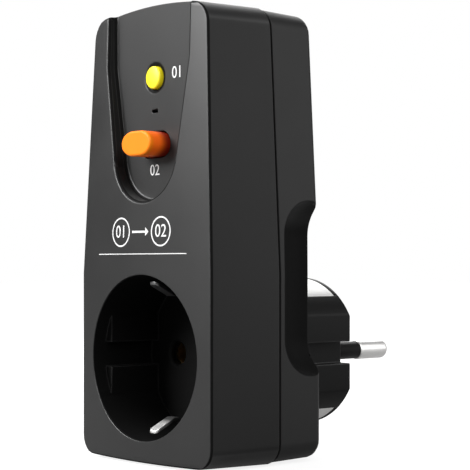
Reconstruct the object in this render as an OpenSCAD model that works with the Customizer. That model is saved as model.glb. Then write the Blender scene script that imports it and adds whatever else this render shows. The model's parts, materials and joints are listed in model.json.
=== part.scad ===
/* [Housing] */
// Width across the lower part of the housing
body_w = 48.4; // [47.4:0.1:54]
// Height of the housing
body_h = 107.6; // [102:0.2:120]
// Height of the socket axis above the bottom
axis_h = 24.6; // [24:0.1:30]
// Depth of the front shell, from its crown to the parting line
front_depth = 21.4; // [21.2:0.1:27]
// Depth of the rear cover
cover_depth = 14.6; // [13.8:0.1:17]
// Wall of the mouldings
wall = 2; // [1.6:0.1:2.3]
// Radius of the crowned front
crown_r = 300; // [150:5:400]
// Radius of the arched top, seen from the front
top_arch_r = 120; // [110:5:400]
// Radius of the arched bottom, seen from the front
bottom_arch_r = 800; // [300:50:2000]
// Corner radius seen from the front
corner_r = 4.5; // [4:0.1:6.5]
// Radius along the front edge
edge_r = 0.7; // [0.5:0.1:1.6]
// Radius along the rear edge
rear_edge_r = 1.9; // [1:0.1:2.4]
// Growth of the front shell towards the parting line, each side
front_draft = 0.5; // [0.1:0.1:0.8]
// Step in from the front shell to the rear cover
parting_step = 0.3; // [0.1:0.05:0.5]
// Width of the shadow gap along the parting line
shadow_w = 0.8; // [0.3:0.05:1]
// Depth of the shadow gap below the rear cover
shadow_depth = 0.7; // [0.3:0.05:0.8]
// Shrink of the rear cover towards the wall, each side
cover_draft = 0.3; // [0.1:0.1:1.2]
// Height of the ridge above the socket axis, where the taper starts
ridge_z = 19.8; // [12:0.2:24]
// Taper of the upper part, each side
side_taper = 3.1; // [0.5:0.1:3.5]
// How far the top of the front leans back
front_lean = 1.8; // [0.5:0.1:2.6]
// How far the top of the rear leans forward
rear_lean = 0.3; // [0.1:0.1:1.2]

/* [Finger grips] */
// Radius of the scooped grip at each side of the rear cover
grip_r = 10; // [8:0.2:11]
// Length of a grip between the centres of its round ends
grip_len = 24; // [16:0.5:30]
// Height of the middle of a grip above the socket axis
grip_z = 16.6; // [8:0.2:24]
// How far a grip bites into the side of the cover
grip_bite = 5.5; // [3:0.1:5.6]
// How far a grip's centre line lies in front of the rear face
grip_setback = 3.4; // [2:0.1:5]

/* [Socket] */
// Diameter of the socket recess
recess_d = 39; // [38.4:0.1:40]
// Depth of the recess floor below the crown
recess_depth = 19; // [17.5:0.1:19.6]
// Depth of the ledge on the two side flats below the crown
ledge_depth = 4.4; // [3.4:0.1:7]
// Distance between the two side flats
socket_flats = 33.8; // [33:0.1:36]
// Width of the guide groove in each flat
groove_w = 6; // [5.4:0.1:7]
// Wall of the socket cup
cup_wall = 1.7; // [1.2:0.1:2]
// Thickness of the recess floor
cup_floor = 2; // [1.6:0.1:2.4]
// Diameter of a pin hole in the floor
pin_hole_d = 5.4; // [5.2:0.1:6]
// Chamfer round a pin hole
hole_chamfer = 0.6; // [0.2:0.1:1]

/* [Control panel] */
// Depth of the panel floor below the crown
panel_depth = 4.3; // [3.6:0.1:5.2]
// Width of the panel at the top of the housing
panel_w = 29.8; // [24:0.2:33]
// Radius of the round lower end of the panel
panel_r = 11.2; // [9:0.1:12.5]
// Drop from the top of the housing to the panel's lower end
panel_drop = 46.2; // [43.5:0.2:50]
// Drop from the top of the housing to the panel's full width
shoulder_drop = 13.6; // [8:0.2:20]
// Width of the indicator slit
slit_w = 2.1; // [1.6:0.1:3]
// Height of the indicator slit
slit_h = 0.7; // [0.5:0.1:1.2]
// Drop from the top of the housing to the slit
slit_drop = 24.9; // [23:0.1:25.9]

/* [Reset button] */
// Width of the reset button
reset_w = 11; // [9:0.1:13]
// Height of the reset button
reset_h = 5.9; // [5:0.1:7]
// How far the button stands out of the panel when it has tripped
reset_proud = 5.9; // [5.2:0.1:7]
// Travel of the reset button
reset_travel = 5; // [3:0.1:5]
// Drop from the top of the housing to the button's axis
reset_drop = 32.8; // [32:0.1:34]
// Diameter of the button's stem
stem_d = 4; // [3:0.1:4.4]

/* [Test button] */
// Diameter of the test button
test_d = 5.4; // [4.6:0.1:6]
// How far the test button stands out of the panel
test_proud = 0.9; // [0.6:0.1:1.4]
// Travel of the test button
test_travel = 0.9; // [0.5:0.1:1]
// Drop from the top of the housing to the test button's axis
test_drop = 17; // [15.6:0.1:17.2]
// Diameter of the dished recess round the test button
dish_d = 8.2; // [7.4:0.1:9]
// Depth of the dish
dish_depth = 0.6; // [0.3:0.1:0.9]

/* [Plug] */
// Length of the plug behind the rear cover
plug_len = 18; // [17:0.1:19]
// Diameter of the plug
plug_d = 37; // [36:0.1:37.6]
// Distance between the plug's side flats
plug_flats = 32.2; // [31:0.1:34]
// Width of the guide notch in each flat
notch_w = 5.4; // [4.6:0.1:6]
// Distance between the floors of the two notches
notch_span = 25.6; // [25.2:0.1:28]
// Pin diameter
pin_d = 4.8; // [4:0.1:5]
// Distance between the pins
pin_spacing = 19; // [18.6:0.1:19.4]
// Length of a pin beyond the plug's end face
pin_len = 19; // [17:0.1:20]
// Length of the black sleeve on a pin
sleeve_len = 8.6; // [6:0.1:10]
// Outer diameter of a pin sleeve
sleeve_d = 4.4; // [4:0.1:4.6]
// Wall of a pin sleeve
sleeve_t = 0.45; // [0.3:0.05:0.6]
// Half angle of an earth contact round the plug
earth_angle = 40; // [30:1:44]

/* [Metal strip] */
// Thickness of the conductor strips
strip_t = 0.8; // [0.6:0.05:1]
// Width of the conductor strips
strip_w = 3; // [2.4:0.1:3.2]
// Width of an earth clip
clip_w = 3; // [2.4:0.1:4]
// Distance of the earth clip's crest from the socket axis
clip_crest = 14.4; // [13.6:0.1:15.4]
// Diameter of a contact tip
tip_d = 2.8; // [2.2:0.1:3]
// Height of a contact tip on the moving bridge
tip_h = 0.9; // [0.6:0.1:1.2]

/* [Trip mechanism] */
// Travel of the coil's plunger
plunger_travel = 1.6; // [1:0.1:1.6]
// Diameter of the coil's plunger
plunger_d = 3; // [2.6:0.1:3.2]
// Diameter of the coil's winding
coil_d = 9.4; // [8.4:0.1:9.6]
// Diameter of the latch pin
latch_pin_d = 2; // [1.6:0.1:2.2]
// Outer diameter of the current transformer
ct_d = 16; // [15:0.1:16.6]
// Bore of the current transformer
ct_bore = 10; // [9.4:0.1:10.6]
// Height of the current transformer
ct_h = 8; // [6:0.1:9]
// Thickness of the circuit board
board_t = 1.6; // [1:0.1:1.8]
// Wire of the reset spring
spring_wire = 0.7; // [0.5:0.05:0.75]
// Turns of the reset spring
spring_turns = 5; // [4:0.5:5.5]

/* [Screws] */
// Diameter of a housing screw
screw_d = 2.9; // [2.5:0.1:3]
// Diameter of a screw head
head_d = 5.4; // [4.8:0.1:5.6]
// Length of a screw below its head
screw_len = 18; // [14:0.5:19]

/* [Clearances] */
// Gap round a button in its hole
slide_gap = 0.15; // [0.1:0.01:0.25]
// Gap between fixed pieces that seat in one another
seat_gap = 0.05; // [0.03:0.01:0.08]
// Gap between a pin and the hole it turns or slides in, on the radius
run_gap = 0.05; // [0.03:0.01:0.08]
// Gap that is left between moving pieces
free_gap = 0.3; // [0.2:0.05:0.35]

/* [Hidden] */
$fn = 48;

// Overlap of a cut past the face that it opens
past = 1;
crown_steps = 16;
arch_steps = 8;

// Heights, from the axis of the plug and socket
bottom_z = -axis_h;
top_z = body_h - axis_h;
reset_z = top_z - reset_drop;
test_z = top_z - test_drop;
slit_z = top_z - slit_drop;
panel_bottom_z = top_z - panel_drop;
shoulder_z = top_z - shoulder_drop;

// Depths, from the end face of the plug, which is the origin
y_rear = -plug_len;
y_part = y_rear - cover_depth;
y_front = y_part - front_depth;
y_rear_in = y_rear - wall;
y_panel = y_front + panel_depth;
y_panel_back = y_panel + wall;
y_floor = y_front + recess_depth;
y_cup_back = y_floor + cup_floor;

recess_r = recess_d / 2;
cup_r = recess_r + cup_wall;
pin_x = pin_spacing / 2;
plug_r = plug_d / 2;

// Layers of the mechanism, from the cup backwards
strip_gap = 0.4;
frame_t = 2;
y_strip = y_cup_back + strip_gap;
y_frame = y_strip + strip_t;
y_frame_back = y_frame + frame_t;
y_bar = y_frame_back + strip_gap;
y_bar_mid = y_bar + strip_t / 2;
board_lift = 2.8;
y_board_back = y_rear_in - board_lift;
y_board = y_board_back - board_t;

// Screws
boss_r = 3.8;
boss_gap = 0.4;
top_boss_gap = 0.3;
top_boss_drop = 1.5;
low_screw_x = body_w / 2 - wall - boss_gap - boss_r;
low_screw_z = bottom_z + wall + boss_gap + boss_r;
top_screw_x = body_w / 2 - side_taper - wall - top_boss_gap - boss_r;
top_screw_z = top_z - wall - top_boss_drop - boss_r;
head_seat = 3.2;
head_h = 2;
head_gap = 0.2;
SCREWS = [
  [low_screw_x, low_screw_z], [-low_screw_x, low_screw_z],
  [top_screw_x, top_screw_z], [-top_screw_x, top_screw_z]
];

// Reset button, its carrier and the contacts
flange_t = 1.5;
flange_rim = 1.5;
flange_gap = 0.2;
carrier_t = 3;
y_reset_face = y_panel - reset_proud;
y_reset_flange = y_panel_back + flange_gap;
y_carrier = y_reset_flange + flange_t + seat_gap;
y_carrier_back = y_carrier + carrier_t;
y_bridge = y_carrier_back + seat_gap;
y_tip = y_bridge + strip_t + tip_h;
contact_gap = 0.1;
y_fixed_tip = y_tip + reset_travel + contact_gap;
y_stem_end = y_frame_back - strip_gap;
pole_x = 11;
tip_z = 3.6;
carrier_half_w = 13.5;
carrier_half_h = 5.2;
bridge_half_h = 5;
stem_bore = stem_d + 2 * run_gap;
spring_r = stem_d / 2 + free_gap + spring_wire / 2;

// Conductors
riser_gap = 1.2;
inner_half_w = body_w / 2 - side_taper - wall;
riser_x = inner_half_w - riser_gap - strip_w / 2;
pin_play = 0.1;
sleeve_r = pin_d / 2 + pin_play;
tulip_wall = 0.8;
tulip_rim = 0.8;
tulip_len = 9;
tulip_slit = 0.8;
strip_bead = 0.1;
rivet_d = 2.4;
rivet_over = 0.4;
rivet_gap = 0.2;
eye_r = 1.7;
root_depth = 12.6;
y_root = -root_depth;
bar_z = 8;
bar_trim = 0.2;
bar_half_w = strip_w / 2 - bar_trim;
neck_x = 2.6;
bend_drop = 2.5;
bend_gap = 1;

// Earth contacts
arc_t = 0.9;
arc_sunk = 0.1;
arc_r = plug_r - arc_sunk;
arc_end = 1.4;
arc_play = 0.3;
tongue_lap = 2;
tongue_r = arc_r - arc_t / 2 - strip_t;
lip_depth = 3.6;
crest_depth = 9.2;
crest_len = 1.2;
clip_root = 1.5;

// Plug
plug_flange_t = 1.9;
plug_flange_rim = 1.7;
plug_flange_d = plug_d + 2 * plug_flange_rim;
plug_flange_half_w = body_w / 2 - grip_bite - wall - free_gap;
y_flange_back = y_rear_in - seat_gap;
y_flange = y_flange_back - plug_flange_t;
arc_gap = 0.2;
y_arc = y_flange_back + arc_gap;
y_tongue_end = y_arc + tongue_lap;
eye_gap = 0.3;
cavity_half_w = pin_x + eye_r + eye_gap;
cavity_half_h = 12.4;
sleeve_root = 6;
pin_round = 0.3;

// Current transformer, above the cup
ct_lift = 1.5;
ct_z = cup_r + ct_lift;
y_ct = y_bar_mid;
ct_edge = 1.2;
cradle_t = 1.2;

// Latch and coil
coil_gap = 0.2;
coil_rim = 0.3;
coil_flange = 0.9;
latch_x = top_screw_x - boss_r - coil_gap - coil_rim - coil_d / 2;
pivot_ahead = 5.2;
pivot_rise = 10.6;
y_pivot = y_frame - pivot_ahead;
pivot_z = reset_z + pivot_rise;
hub_wall = 1.2;
hub_r = latch_pin_d / 2 + hub_wall;
arm_half_w = 1.5;
ear_t = 2;
ear_gap = 2.6;
ear_half_h = 2.6;
coil_inset = 0.7;
y_coil = y_frame_back - coil_inset;
tail_t = 1.6;
tail_over = 1.4;
tail_play = 0.5;
slot_gap = 0.35;
slot_front = 0.4;
hook_t = 0.65;
hook_lift = 0.5;
hook_ahead = 0.2;
tooth_rise = 0.3;
tooth_rim = 0.5;
tooth_top_z = reset_z + carrier_half_h + tooth_rise;
hook_bottom_z = tooth_top_z + hook_lift;
y_hook = y_carrier_back - hook_ahead;
coil_rise = 4;
coil_bottom_z = pivot_z + coil_rise;
yoke_t = 1;
yoke_half_w = 4.5;
yoke_gap = 0.4;
bobbin_h = 11.4;
coil_top_z = coil_bottom_z + yoke_t + bobbin_h;
head_t = 0.8;
plunger_neck_d = 2.2;
plunger_head_d = 3.2;
shoulder_out = 1.8;
spring_room = 2.5;
head_top_z = pivot_z - tail_t / 2 - tail_play;
plunger_shoulder_z = coil_bottom_z - shoulder_out;
plunger_top_z = coil_top_z - spring_room;
plunger_wire = 0.4;
plunger_turns = 3;

// Frame of the mechanism
frame_drop = 10.9;
frame_gap = 2.5;
board_lip = 0.4;
frame_half_w = inner_half_w - frame_gap;
frame_top_z = pivot_z - ear_half_h;
frame_bottom_z = reset_z - frame_drop;
leg_d = 3.6;
leg_in = 2.4;
leg_x = frame_half_w - leg_d / 2 - board_lip;

// Test switch
test_flange_t = 1;
test_flange_rim = 1;
test_flange_d = test_d + 2 * test_flange_rim;
test_stem_d = 2.6;
test_point_d = 1.4;
point_len = 0.8;
point_gap = 0.15;
leaf_t = 0.4;
leaf_half_h = 1.5;
leaf_root_x = -8.3;
leaf_root_r = 0.5;
leaf_tip_x = 4;
leaf_ahead = 7.45;
y_leaf = y_frame - leaf_ahead;
y_test_point = y_leaf - leaf_t / 2 - point_gap;
contact_drop = 1.85;
y_contact = y_leaf + contact_drop;
contact_root = 1;
bump_d = 2;
bump_h = 0.25;
bump_x = 3;
post_left_x = -12;
post_lip = 0.3;
post_rim = 0.7;
post_front = 1.2;

// Circuit board and what it carries
board_over = 1;
board_in = 0.1;
board_half_w = frame_half_w - board_in;
board_bottom_z = frame_bottom_z - board_over;
board_top_gap = 2.8;
board_top_z = top_z - wall - board_top_gap;
board_gap = 0.6;
board_post_d = 4.4;
board_post_in = 4;
board_post_rise = 3.5;
board_post_lift = 7.6;
board_post_low = board_bottom_z + board_post_rise;
board_post_high = frame_top_z + board_post_lift;
board_post_x = board_half_w - board_post_in;
resistor_d = 2.6;
resistor_l = 7;
resistor_x = -10;
resistor_rise = 5.6;
lead_d = 0.7;
lead_run = 1.2;
varistor_d = 8;
varistor_t = 3.4;
varistor_x = -4.5;
varistor_gap = 0.5;
chip_w = 6;
chip_h = 4;
chip_t = 1.6;
chip_x = 3;
chip_rise = 4.6;

echo(reset_spring_gap = (spring_length() - spring_wire) / spring_turns - spring_wire);

// Share of the taper that is reached at a height
function rise(z) = max(0, z - ridge_z) / (top_z - ridge_z);
// Share of the drop that is reached between the ridge and the bottom
function fall(z) = max(0, ridge_z - z) / (ridge_z - bottom_z);
function half_w(z) = body_w / 2 - side_taper * rise(z);
// How far an arc of radius r stands back at a distance x from its middle
function arc_back(x, r) = r - sqrt(r * r - x * x);
function crown(x) = arc_back(x, crown_r);
function arched(p) = [
  p[0], p[1],
  p[2] - rise(p[2]) * arc_back(p[0], top_arch_r) + fall(p[2]) * arc_back(p[0], bottom_arch_r)
];
// How far a round of radius r stands in at a distance d from its end
function round_in(d, r) = d >= r ? 0 : r - sqrt(r * r - (r - d) * (r - d));
function end_distance(z, s) = max(0, min(z - bottom_z - s, top_z - s - z));

// Heights of the plan sections, closer together in the rounded corners
function levels(s) = concat(
  [for (a = [0 : 15 : 90]) bottom_z + s + (corner_r - s) * (1 - cos(a))],
  [ridge_z],
  [for (a = [90 : -15 : 0]) top_z - s - (corner_r - s) * (1 - cos(a))]
);

// Plan section of the crowned front, a wall s inside the outer form
function front_section(z, s) =
  let (
    r = edge_r,
    d = end_distance(z, s),
    w = half_w(z) - s - round_in(d, corner_r - s),
    y0 = y_front + s + front_lean * rise(z) + round_in(d, r),
    yc = y0 + crown(w - r) + r
  )
  concat(
    [for (i = [0 : crown_steps]) let (x = (w - r) * (2 * i / crown_steps - 1)) [x, y0 + crown(x)]],
    [for (a = [22.5 : 22.5 : 90]) [w - r + r * sin(a), yc - r * cos(a)]],
    [for (a = [90 : -22.5 : 22.5]) [-(w - r) - r * sin(a), yc - r * cos(a)]]
  );

function corner_arc(x, z, r, from) = [
  for (a = [0 : 15 : 90]) [x + r * cos(from + a), z + r * sin(from + a)]
];
low_corner_x = body_w / 2 - corner_r;
top_corner_x = low_corner_x - side_taper;
// Points along a level edge, between the corners at half width x
function edge_points(x, z) = [for (i = [1 : arch_steps - 1]) [x * (1 - 2 * i / arch_steps), z]];
// Lower part of the front view, up to the ridge, set in by a distance
function low_outline(in) = concat(
  corner_arc(low_corner_x, bottom_z + corner_r, corner_r - in, -90),
  [[body_w / 2 - in, ridge_z], [-(body_w / 2 - in), ridge_z]],
  corner_arc(-low_corner_x, bottom_z + corner_r, corner_r - in, 180),
  edge_points(-low_corner_x, bottom_z + in)
);
// Upper end of the front view, set in by a distance
function top_outline(in) = concat(
  corner_arc(top_corner_x, top_z - corner_r, corner_r - in, 0),
  edge_points(top_corner_x, top_z - in),
  corner_arc(-top_corner_x, top_z - corner_r, corner_r - in, 90)
);

// A flat shape drawn in x and z, as thick as the distance from y0 to y1
module plate(y0, y1) {
  translate([0, y1, 0])
    rotate([90, 0, 0])
      linear_extrude(height = y1 - y0)
        children();
}

// A round rod along y
module rod(x, z, d, y0, y1) {
  translate([x, y0, z])
    rotate([-90, 0, 0])
      cylinder(d = d, h = y1 - y0);
}

// A round rod along x
module cross_rod(y, z, d, x0, x1) {
  translate([x0, y, z])
    rotate([0, 90, 0])
      cylinder(d = d, h = x1 - x0);
}

module box(x0, x1, y0, y1, z0, z1) {
  translate([x0, y0, z0])
    cube([x1 - x0, y1 - y0, z1 - z0]);
}

// A shape drawn in y and z, centred on x
module side_plate(x, width) {
  translate([x - width / 2, 0, 0])
    rotate([90, 0, 90])
      linear_extrude(height = width)
        children();
}

module stadium(w, h) {
  square([w - h, h], center = true);
  for (side = [-1, 1])
    translate([side * (w - h) / 2, 0])
      circle(d = h);
}

// A straight strip with round ends, between two points of a plane
module strip(p, q, w) {
  run = q - p;
  translate(p)
    rotate(atan2(run[1], run[0]))
      translate([0, -w / 2])
        square([norm(run), w]);
  for (end = [p, q])
    translate(end)
      circle(d = w + strip_bead);
}

// The convex form that just holds a set of points, with the housing's arch
module wrapped(points) {
  hull()
    polyhedron(points = [for (p = points) arched(p)], faces = [[for (i = [0 : len(points) - 1]) i]]);
}

function at_depth(outline, y) = [for (p = outline) [p[0], y, p[1]]];

// Form of the front shell, a wall s inside it, back to y_end
module front_form(s, y_end) {
  in = s - front_draft;
  wrapped(concat(
    [for (z = levels(s), p = front_section(z, s)) [p[0], p[1], z]],
    at_depth(low_outline(in), y_end),
    at_depth(top_outline(in), y_end)
  ));
}

// Rounded rear end of the cover's form: one outline at an angle round the edge
function rear_slice(s, a) =
  let (
    y = y_rear - s - rear_edge_r * (1 - sin(a)),
    in = parting_step - front_draft + s + cover_draft + rear_edge_r * (1 - cos(a))
  )
  concat(at_depth(low_outline(in), y), at_depth(top_outline(in), y - rear_lean));

// Form of the rear cover, a wall s inside it, from y_start to the rear
module rear_form(s, y_start) {
  in = parting_step - front_draft + s;
  wrapped(concat(
    at_depth(low_outline(in), y_start),
    at_depth(top_outline(in), y_start),
    [for (a = [0 : 22.5 : 90], p = rear_slice(s, a)) p]
  ));
}

// Outline of the control panel, grown by a distance
module panel_outline(grow) {
  r = panel_r + grow;
  cz = panel_bottom_z + panel_r;
  w = panel_w / 2 + grow;
  dx = w;
  dz = shoulder_z - cz;
  lean = atan2(dz, dx) - acos(r / norm([dx, dz]));
  translate([0, cz])
    circle(r = r);
  polygon([
    [r * cos(lean), cz + r * sin(lean)], [w, shoulder_z], [w, top_z + past],
    [-w, top_z + past], [-w, shoulder_z], [-r * cos(lean), cz + r * sin(lean)]
  ]);
}

// The socket recess: a round well whose flats start at the ledge
module recess_cut() {
  rod(0, 0, recess_d, y_front - past, y_front + ledge_depth);
  intersection() {
    rod(0, 0, recess_d, y_front - past, y_floor);
    union() {
      box(-socket_flats / 2, socket_flats / 2, y_front, y_floor + past, -recess_d, recess_d);
      box(-recess_d, recess_d, y_front, y_floor + past, -groove_w / 2, groove_w / 2);
    }
  }
}

// Slots in the recess floor for the earth clips
module earth_slots() {
  for (side = [-1, 1])
    box(-clip_w / 2 - free_gap, clip_w / 2 + free_gap, y_floor - past, y_cup_back + past,
        side > 0 ? plug_r - 2 * strip_t : -plug_r, side > 0 ? plug_r : -plug_r + 2 * strip_t);
}

// Pin hole in the recess floor, with a chamfer that leads the pin in
module pin_hole(side) {
  rod(side * pin_x, 0, pin_hole_d, y_floor - past, y_cup_back + past);
  translate([side * pin_x, y_floor - hole_chamfer, 0])
    rotate([-90, 0, 0])
      cylinder(d1 = pin_hole_d + 4 * hole_chamfer, d2 = pin_hole_d, h = 2 * hole_chamfer);
}

module front_shell() {
  color("#1c1c1e")
    difference() {
      front_form(0, y_part);
      difference() {
        front_form(wall, y_part);
        rod(0, 0, 2 * cup_r, y_front, y_cup_back);
        plate(y_front, y_panel_back)
          panel_outline(wall);
        for (p = SCREWS)
          rod(p[0], p[1], 2 * boss_r, y_front, y_part);
      }
      plate(y_front - past, y_panel)
        panel_outline(0);
      recess_cut();
      earth_slots();
      for (side = [-1, 1])
        pin_hole(side);
      plate(y_panel - past, y_panel_back + past)
        translate([0, reset_z])
          stadium(reset_w + 2 * slide_gap, reset_h + 2 * slide_gap);
      rod(0, test_z, test_d + 2 * slide_gap, y_panel - past, y_panel_back + past);
      dish();
      box(-slit_w / 2, slit_w / 2, y_panel - past, y_panel_back + past,
          slit_z - slit_h / 2, slit_z + slit_h / 2);
      for (p = SCREWS)
        rod(p[0], p[1], screw_d + 2 * run_gap, y_rear - head_seat - screw_len - past, y_part + past);
    }
}

// Shallow round hollow that the finger finds round the test button
module dish() {
  ball_r = (dish_d * dish_d / 4 + dish_depth * dish_depth) / (2 * dish_depth);
  translate([0, y_panel + dish_depth - ball_r, test_z])
    sphere(r = ball_r);
}

// A finger grip, as a rod with round ends
module grip(side, grow) {
  x = side * (body_w / 2 - grip_bite + grip_r);
  y = y_rear - grip_setback;
  translate([x, y, grip_z - grip_len / 2])
    cylinder(r = grip_r + grow, h = grip_len);
  for (end = [-1, 1])
    translate([x, y, grip_z + end * grip_len / 2])
      sphere(r = grip_r + grow);
}

// Ribs that hold the current transformer against the cover
module cradle() {
  back = y_ct + ct_d / 2;
  box(-ct_d / 4, ct_d / 4, back + seat_gap, y_rear, ct_z, ct_z + ct_h);
  for (side = [-1, 1])
    translate([side * (ct_d / 2 + seat_gap + cradle_t / 2), 0, 0])
      box(-cradle_t / 2, cradle_t / 2, y_ct, y_rear, ct_z, ct_z + ct_h);
}

// Groove round the cover's front edge, which shows as a dark line
module shadow_gap() {
  in = parting_step - front_draft + shadow_depth;
  outline = concat(low_outline(in), top_outline(in));
  difference() {
    plate(y_part - past, y_part + shadow_w)
      square(2 * (body_h + body_w), center = true);
    wrapped([for (y = [y_part - 2 * past, y_part + shadow_w + past], p = outline) [p[0], y, p[1]]]);
  }
}

module rear_cover() {
  color("#1a1a1c")
    difference() {
      rear_form(0, y_part);
      difference() {
        rear_form(wall, y_part - past);
        for (side = [-1, 1])
          grip(side, wall);
        for (p = SCREWS)
          rod(p[0], p[1], 2 * boss_r, y_part, y_rear);
        for (x = [-board_post_x, board_post_x], z = [board_post_low, board_post_high])
          rod(x, z, board_post_d, y_board_back, y_rear);
        cradle();
      }
      for (side = [-1, 1])
        grip(side, 0);
      shadow_gap();
      plate(y_rear_in - past, y_rear + past)
        plug_outline(seat_gap);
      for (p = SCREWS) {
        rod(p[0], p[1], screw_d + 4 * run_gap, y_part - past, y_rear + past);
        rod(p[0], p[1], head_d + 2 * head_gap, y_rear - head_seat, y_rear + past);
      }
    }
}

// Round of the plug with its two side flats
module plug_outline(grow) {
  intersection() {
    circle(r = plug_r + grow);
    square([plug_flats + 2 * grow, 2 * plug_d], center = true);
  }
}

// Sector of a ring, round the top of the plug
module ring_sector(r0, r1, half_angle) {
  reach = 2 * r1;
  intersection() {
    difference() {
      circle(r = r1);
      circle(r = r0);
    }
    polygon([[0, 0], [-reach * sin(half_angle), reach * cos(half_angle)],
             [reach * sin(half_angle), reach * cos(half_angle)]]);
  }
}

module plug_body() {
  color("#19191b")
    difference() {
      union() {
        plate(y_flange, 0)
          plug_outline(0);
        plate(y_flange, y_flange_back)
          intersection() {
            circle(d = plug_flange_d);
            square([2 * plug_flange_half_w, 2 * plug_flange_d], center = true);
          }
      }
      // Guide notches in the flats
      for (side = [-1, 1])
        translate([side * (notch_span / 2 + plug_r / 2), 0, 0])
          box(-plug_r / 2, plug_r / 2, y_rear, past, -notch_w / 2, notch_w / 2);
      // Beds of the two earth contacts
      for (turn = [0, 180])
        rotate([0, turn, 0]) {
          plate(y_flange_back, -arc_end + seat_gap)
            ring_sector(arc_r - arc_t - seat_gap, plug_r + past, earth_angle + arc_play);
          box(-clip_w / 2 - seat_gap, clip_w / 2 + seat_gap, y_flange - past, y_tongue_end + seat_gap,
              tongue_r - seat_gap, plug_r + past);
        }
      // Room for the pin roots and for the pins of the plug that is put in
      box(-cavity_half_w, cavity_half_w, y_flange - past, y_root, -cavity_half_h, cavity_half_h);
      for (side = [-1, 1]) {
        rod(side * pin_x, 0, sleeve_d - 2 * sleeve_t, y_root - past, past);
        rod(side * pin_x, 0, sleeve_d + 2 * seat_gap, -sleeve_root - seat_gap, past);
      }
    }
}

// A plug pin: a neck inside the sleeve and a bare tip with a round end
module plug_pin(side) {
  neck_d = sleeve_d - 2 * sleeve_t - 2 * seat_gap;
  dome = pin_d * pin_round;
  color("#d9dadc")
    translate([side * pin_x, 0, 0])
      rotate([-90, 0, 0])
        rotate_extrude()
          union() {
            translate([0, y_root - strip_t - rivet_over])
              square([rivet_d / 2, strip_t + rivet_over + past]);
            translate([0, y_root])
              square([neck_d / 2, root_depth + sleeve_len + past]);
            translate([0, sleeve_len + seat_gap])
              square([pin_d / 2, pin_len - sleeve_len - seat_gap - dome]);
            translate([0, pin_len - dome])
              square([pin_d / 2 - dome, dome]);
            intersection() {
              translate([pin_d / 2 - dome, pin_len - dome])
                circle(r = dome);
              translate([pin_d / 2 - dome, pin_len - dome])
                square(dome);
            }
          }
}

module pin_sleeve(side) {
  color("#161617")
    translate([side * pin_x, 0, 0])
      rotate([-90, 0, 0])
        rotate_extrude()
          translate([sleeve_d / 2 - sleeve_t, -sleeve_root])
            square([sleeve_t, sleeve_root + sleeve_len]);
}

// An earth strip: a wide arc on the plug, a tongue through the housing and a
// sprung clip in the socket recess
module earth_strip(turn) {
  r = tongue_r;
  y_root_end = y_floor - clip_root;
  y_lip = y_front + lip_depth;
  y_crest = y_front + crest_depth;
  y_crest_end = y_crest + crest_len;
  crest_back = clip_crest + strip_t;
  color("#cfd0d2")
    rotate([0, turn, 0]) {
      plate(y_arc, -arc_end)
        ring_sector(arc_r - arc_t, arc_r, earth_angle);
      side_plate(0, clip_w)
        polygon([
          [y_tongue_end, r], [y_root_end, r], [y_crest_end, clip_crest], [y_crest, clip_crest],
          [y_lip, r], [y_lip, r + strip_t], [y_crest, crest_back], [y_crest_end, crest_back],
          [y_root_end, r + strip_t], [y_tongue_end, r + strip_t]
        ]);
    }
}

// A socket contact: a split sleeve round the pin, and a riser to the switch
module socket_contact(side) {
  top = [pole_x, reset_z + tip_z];
  riser_top = [riser_x, reset_z + tip_z];
  color("#c9a24a")
    mirror([side < 0 ? 1 : 0, 0, 0])
      difference() {
        union() {
          plate(y_strip, y_frame) {
            translate([pin_x, 0])
              circle(r = sleeve_r + tulip_wall + tulip_rim);
            strip([pin_x, 0], [riser_x, 0], strip_w);
            strip([riser_x, 0], riser_top, strip_w);
            strip(riser_top, top, strip_w);
          }
          rod(pin_x, 0, 2 * (sleeve_r + tulip_wall), y_strip, y_strip + tulip_len);
          rod(top[0], top[1], tip_d, y_fixed_tip, y_frame);
        }
        rod(pin_x, 0, 2 * sleeve_r, y_strip - past, y_strip + tulip_len + past);
        box(pin_x - tulip_slit / 2, pin_x + tulip_slit / 2, y_frame + past, y_strip + tulip_len + past, -plug_r, plug_r);
      }
}

// A supply bar: an eye on the pin root, a run through the current transformer
// and a contact rivet through the frame
module supply_bar(side) {
  low_bend = [pin_x, cup_r - bend_drop];
  below = [neck_x, ct_z - bend_gap];
  above = [neck_x, ct_z + ct_h + bend_gap];
  end = [pole_x, reset_z - tip_z];
  color("#b87333")
    mirror([side < 0 ? 1 : 0, 0, 0])
      difference() {
        union() {
          plate(y_root - strip_t, y_root)
            strip([pin_x, 0], [pin_x, bar_z - bar_half_w], strip_w);
          plate(y_root - strip_t, y_root)
            translate([pin_x, 0])
              circle(r = eye_r);
          box(pin_x - bar_half_w, pin_x + bar_half_w, y_bar, y_root,
              bar_z - strip_t / 2, bar_z + strip_t / 2);
          plate(y_bar, y_bar + strip_t) {
            strip([pin_x, bar_z], low_bend, strip_w);
            strip(low_bend, below, strip_w);
            strip(below, above, strip_w);
            strip(above, end, strip_w);
          }
          rod(end[0], end[1], tip_d, y_fixed_tip, y_bar + strip_t);
        }
        rod(pin_x, 0, rivet_d + 2 * seat_gap, y_root - strip_t - past, y_root + past);
      }
}

module reset_button() {
  color("#e8671c") {
    plate(y_reset_face, y_reset_flange)
      translate([0, reset_z])
        stadium(reset_w, reset_h);
    plate(y_reset_flange, y_reset_flange + flange_t)
      translate([0, reset_z])
        stadium(reset_w + 2 * flange_rim, reset_h + 2 * flange_rim);
    rod(0, reset_z, stem_d, y_reset_flange, y_stem_end);
  }
}

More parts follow.
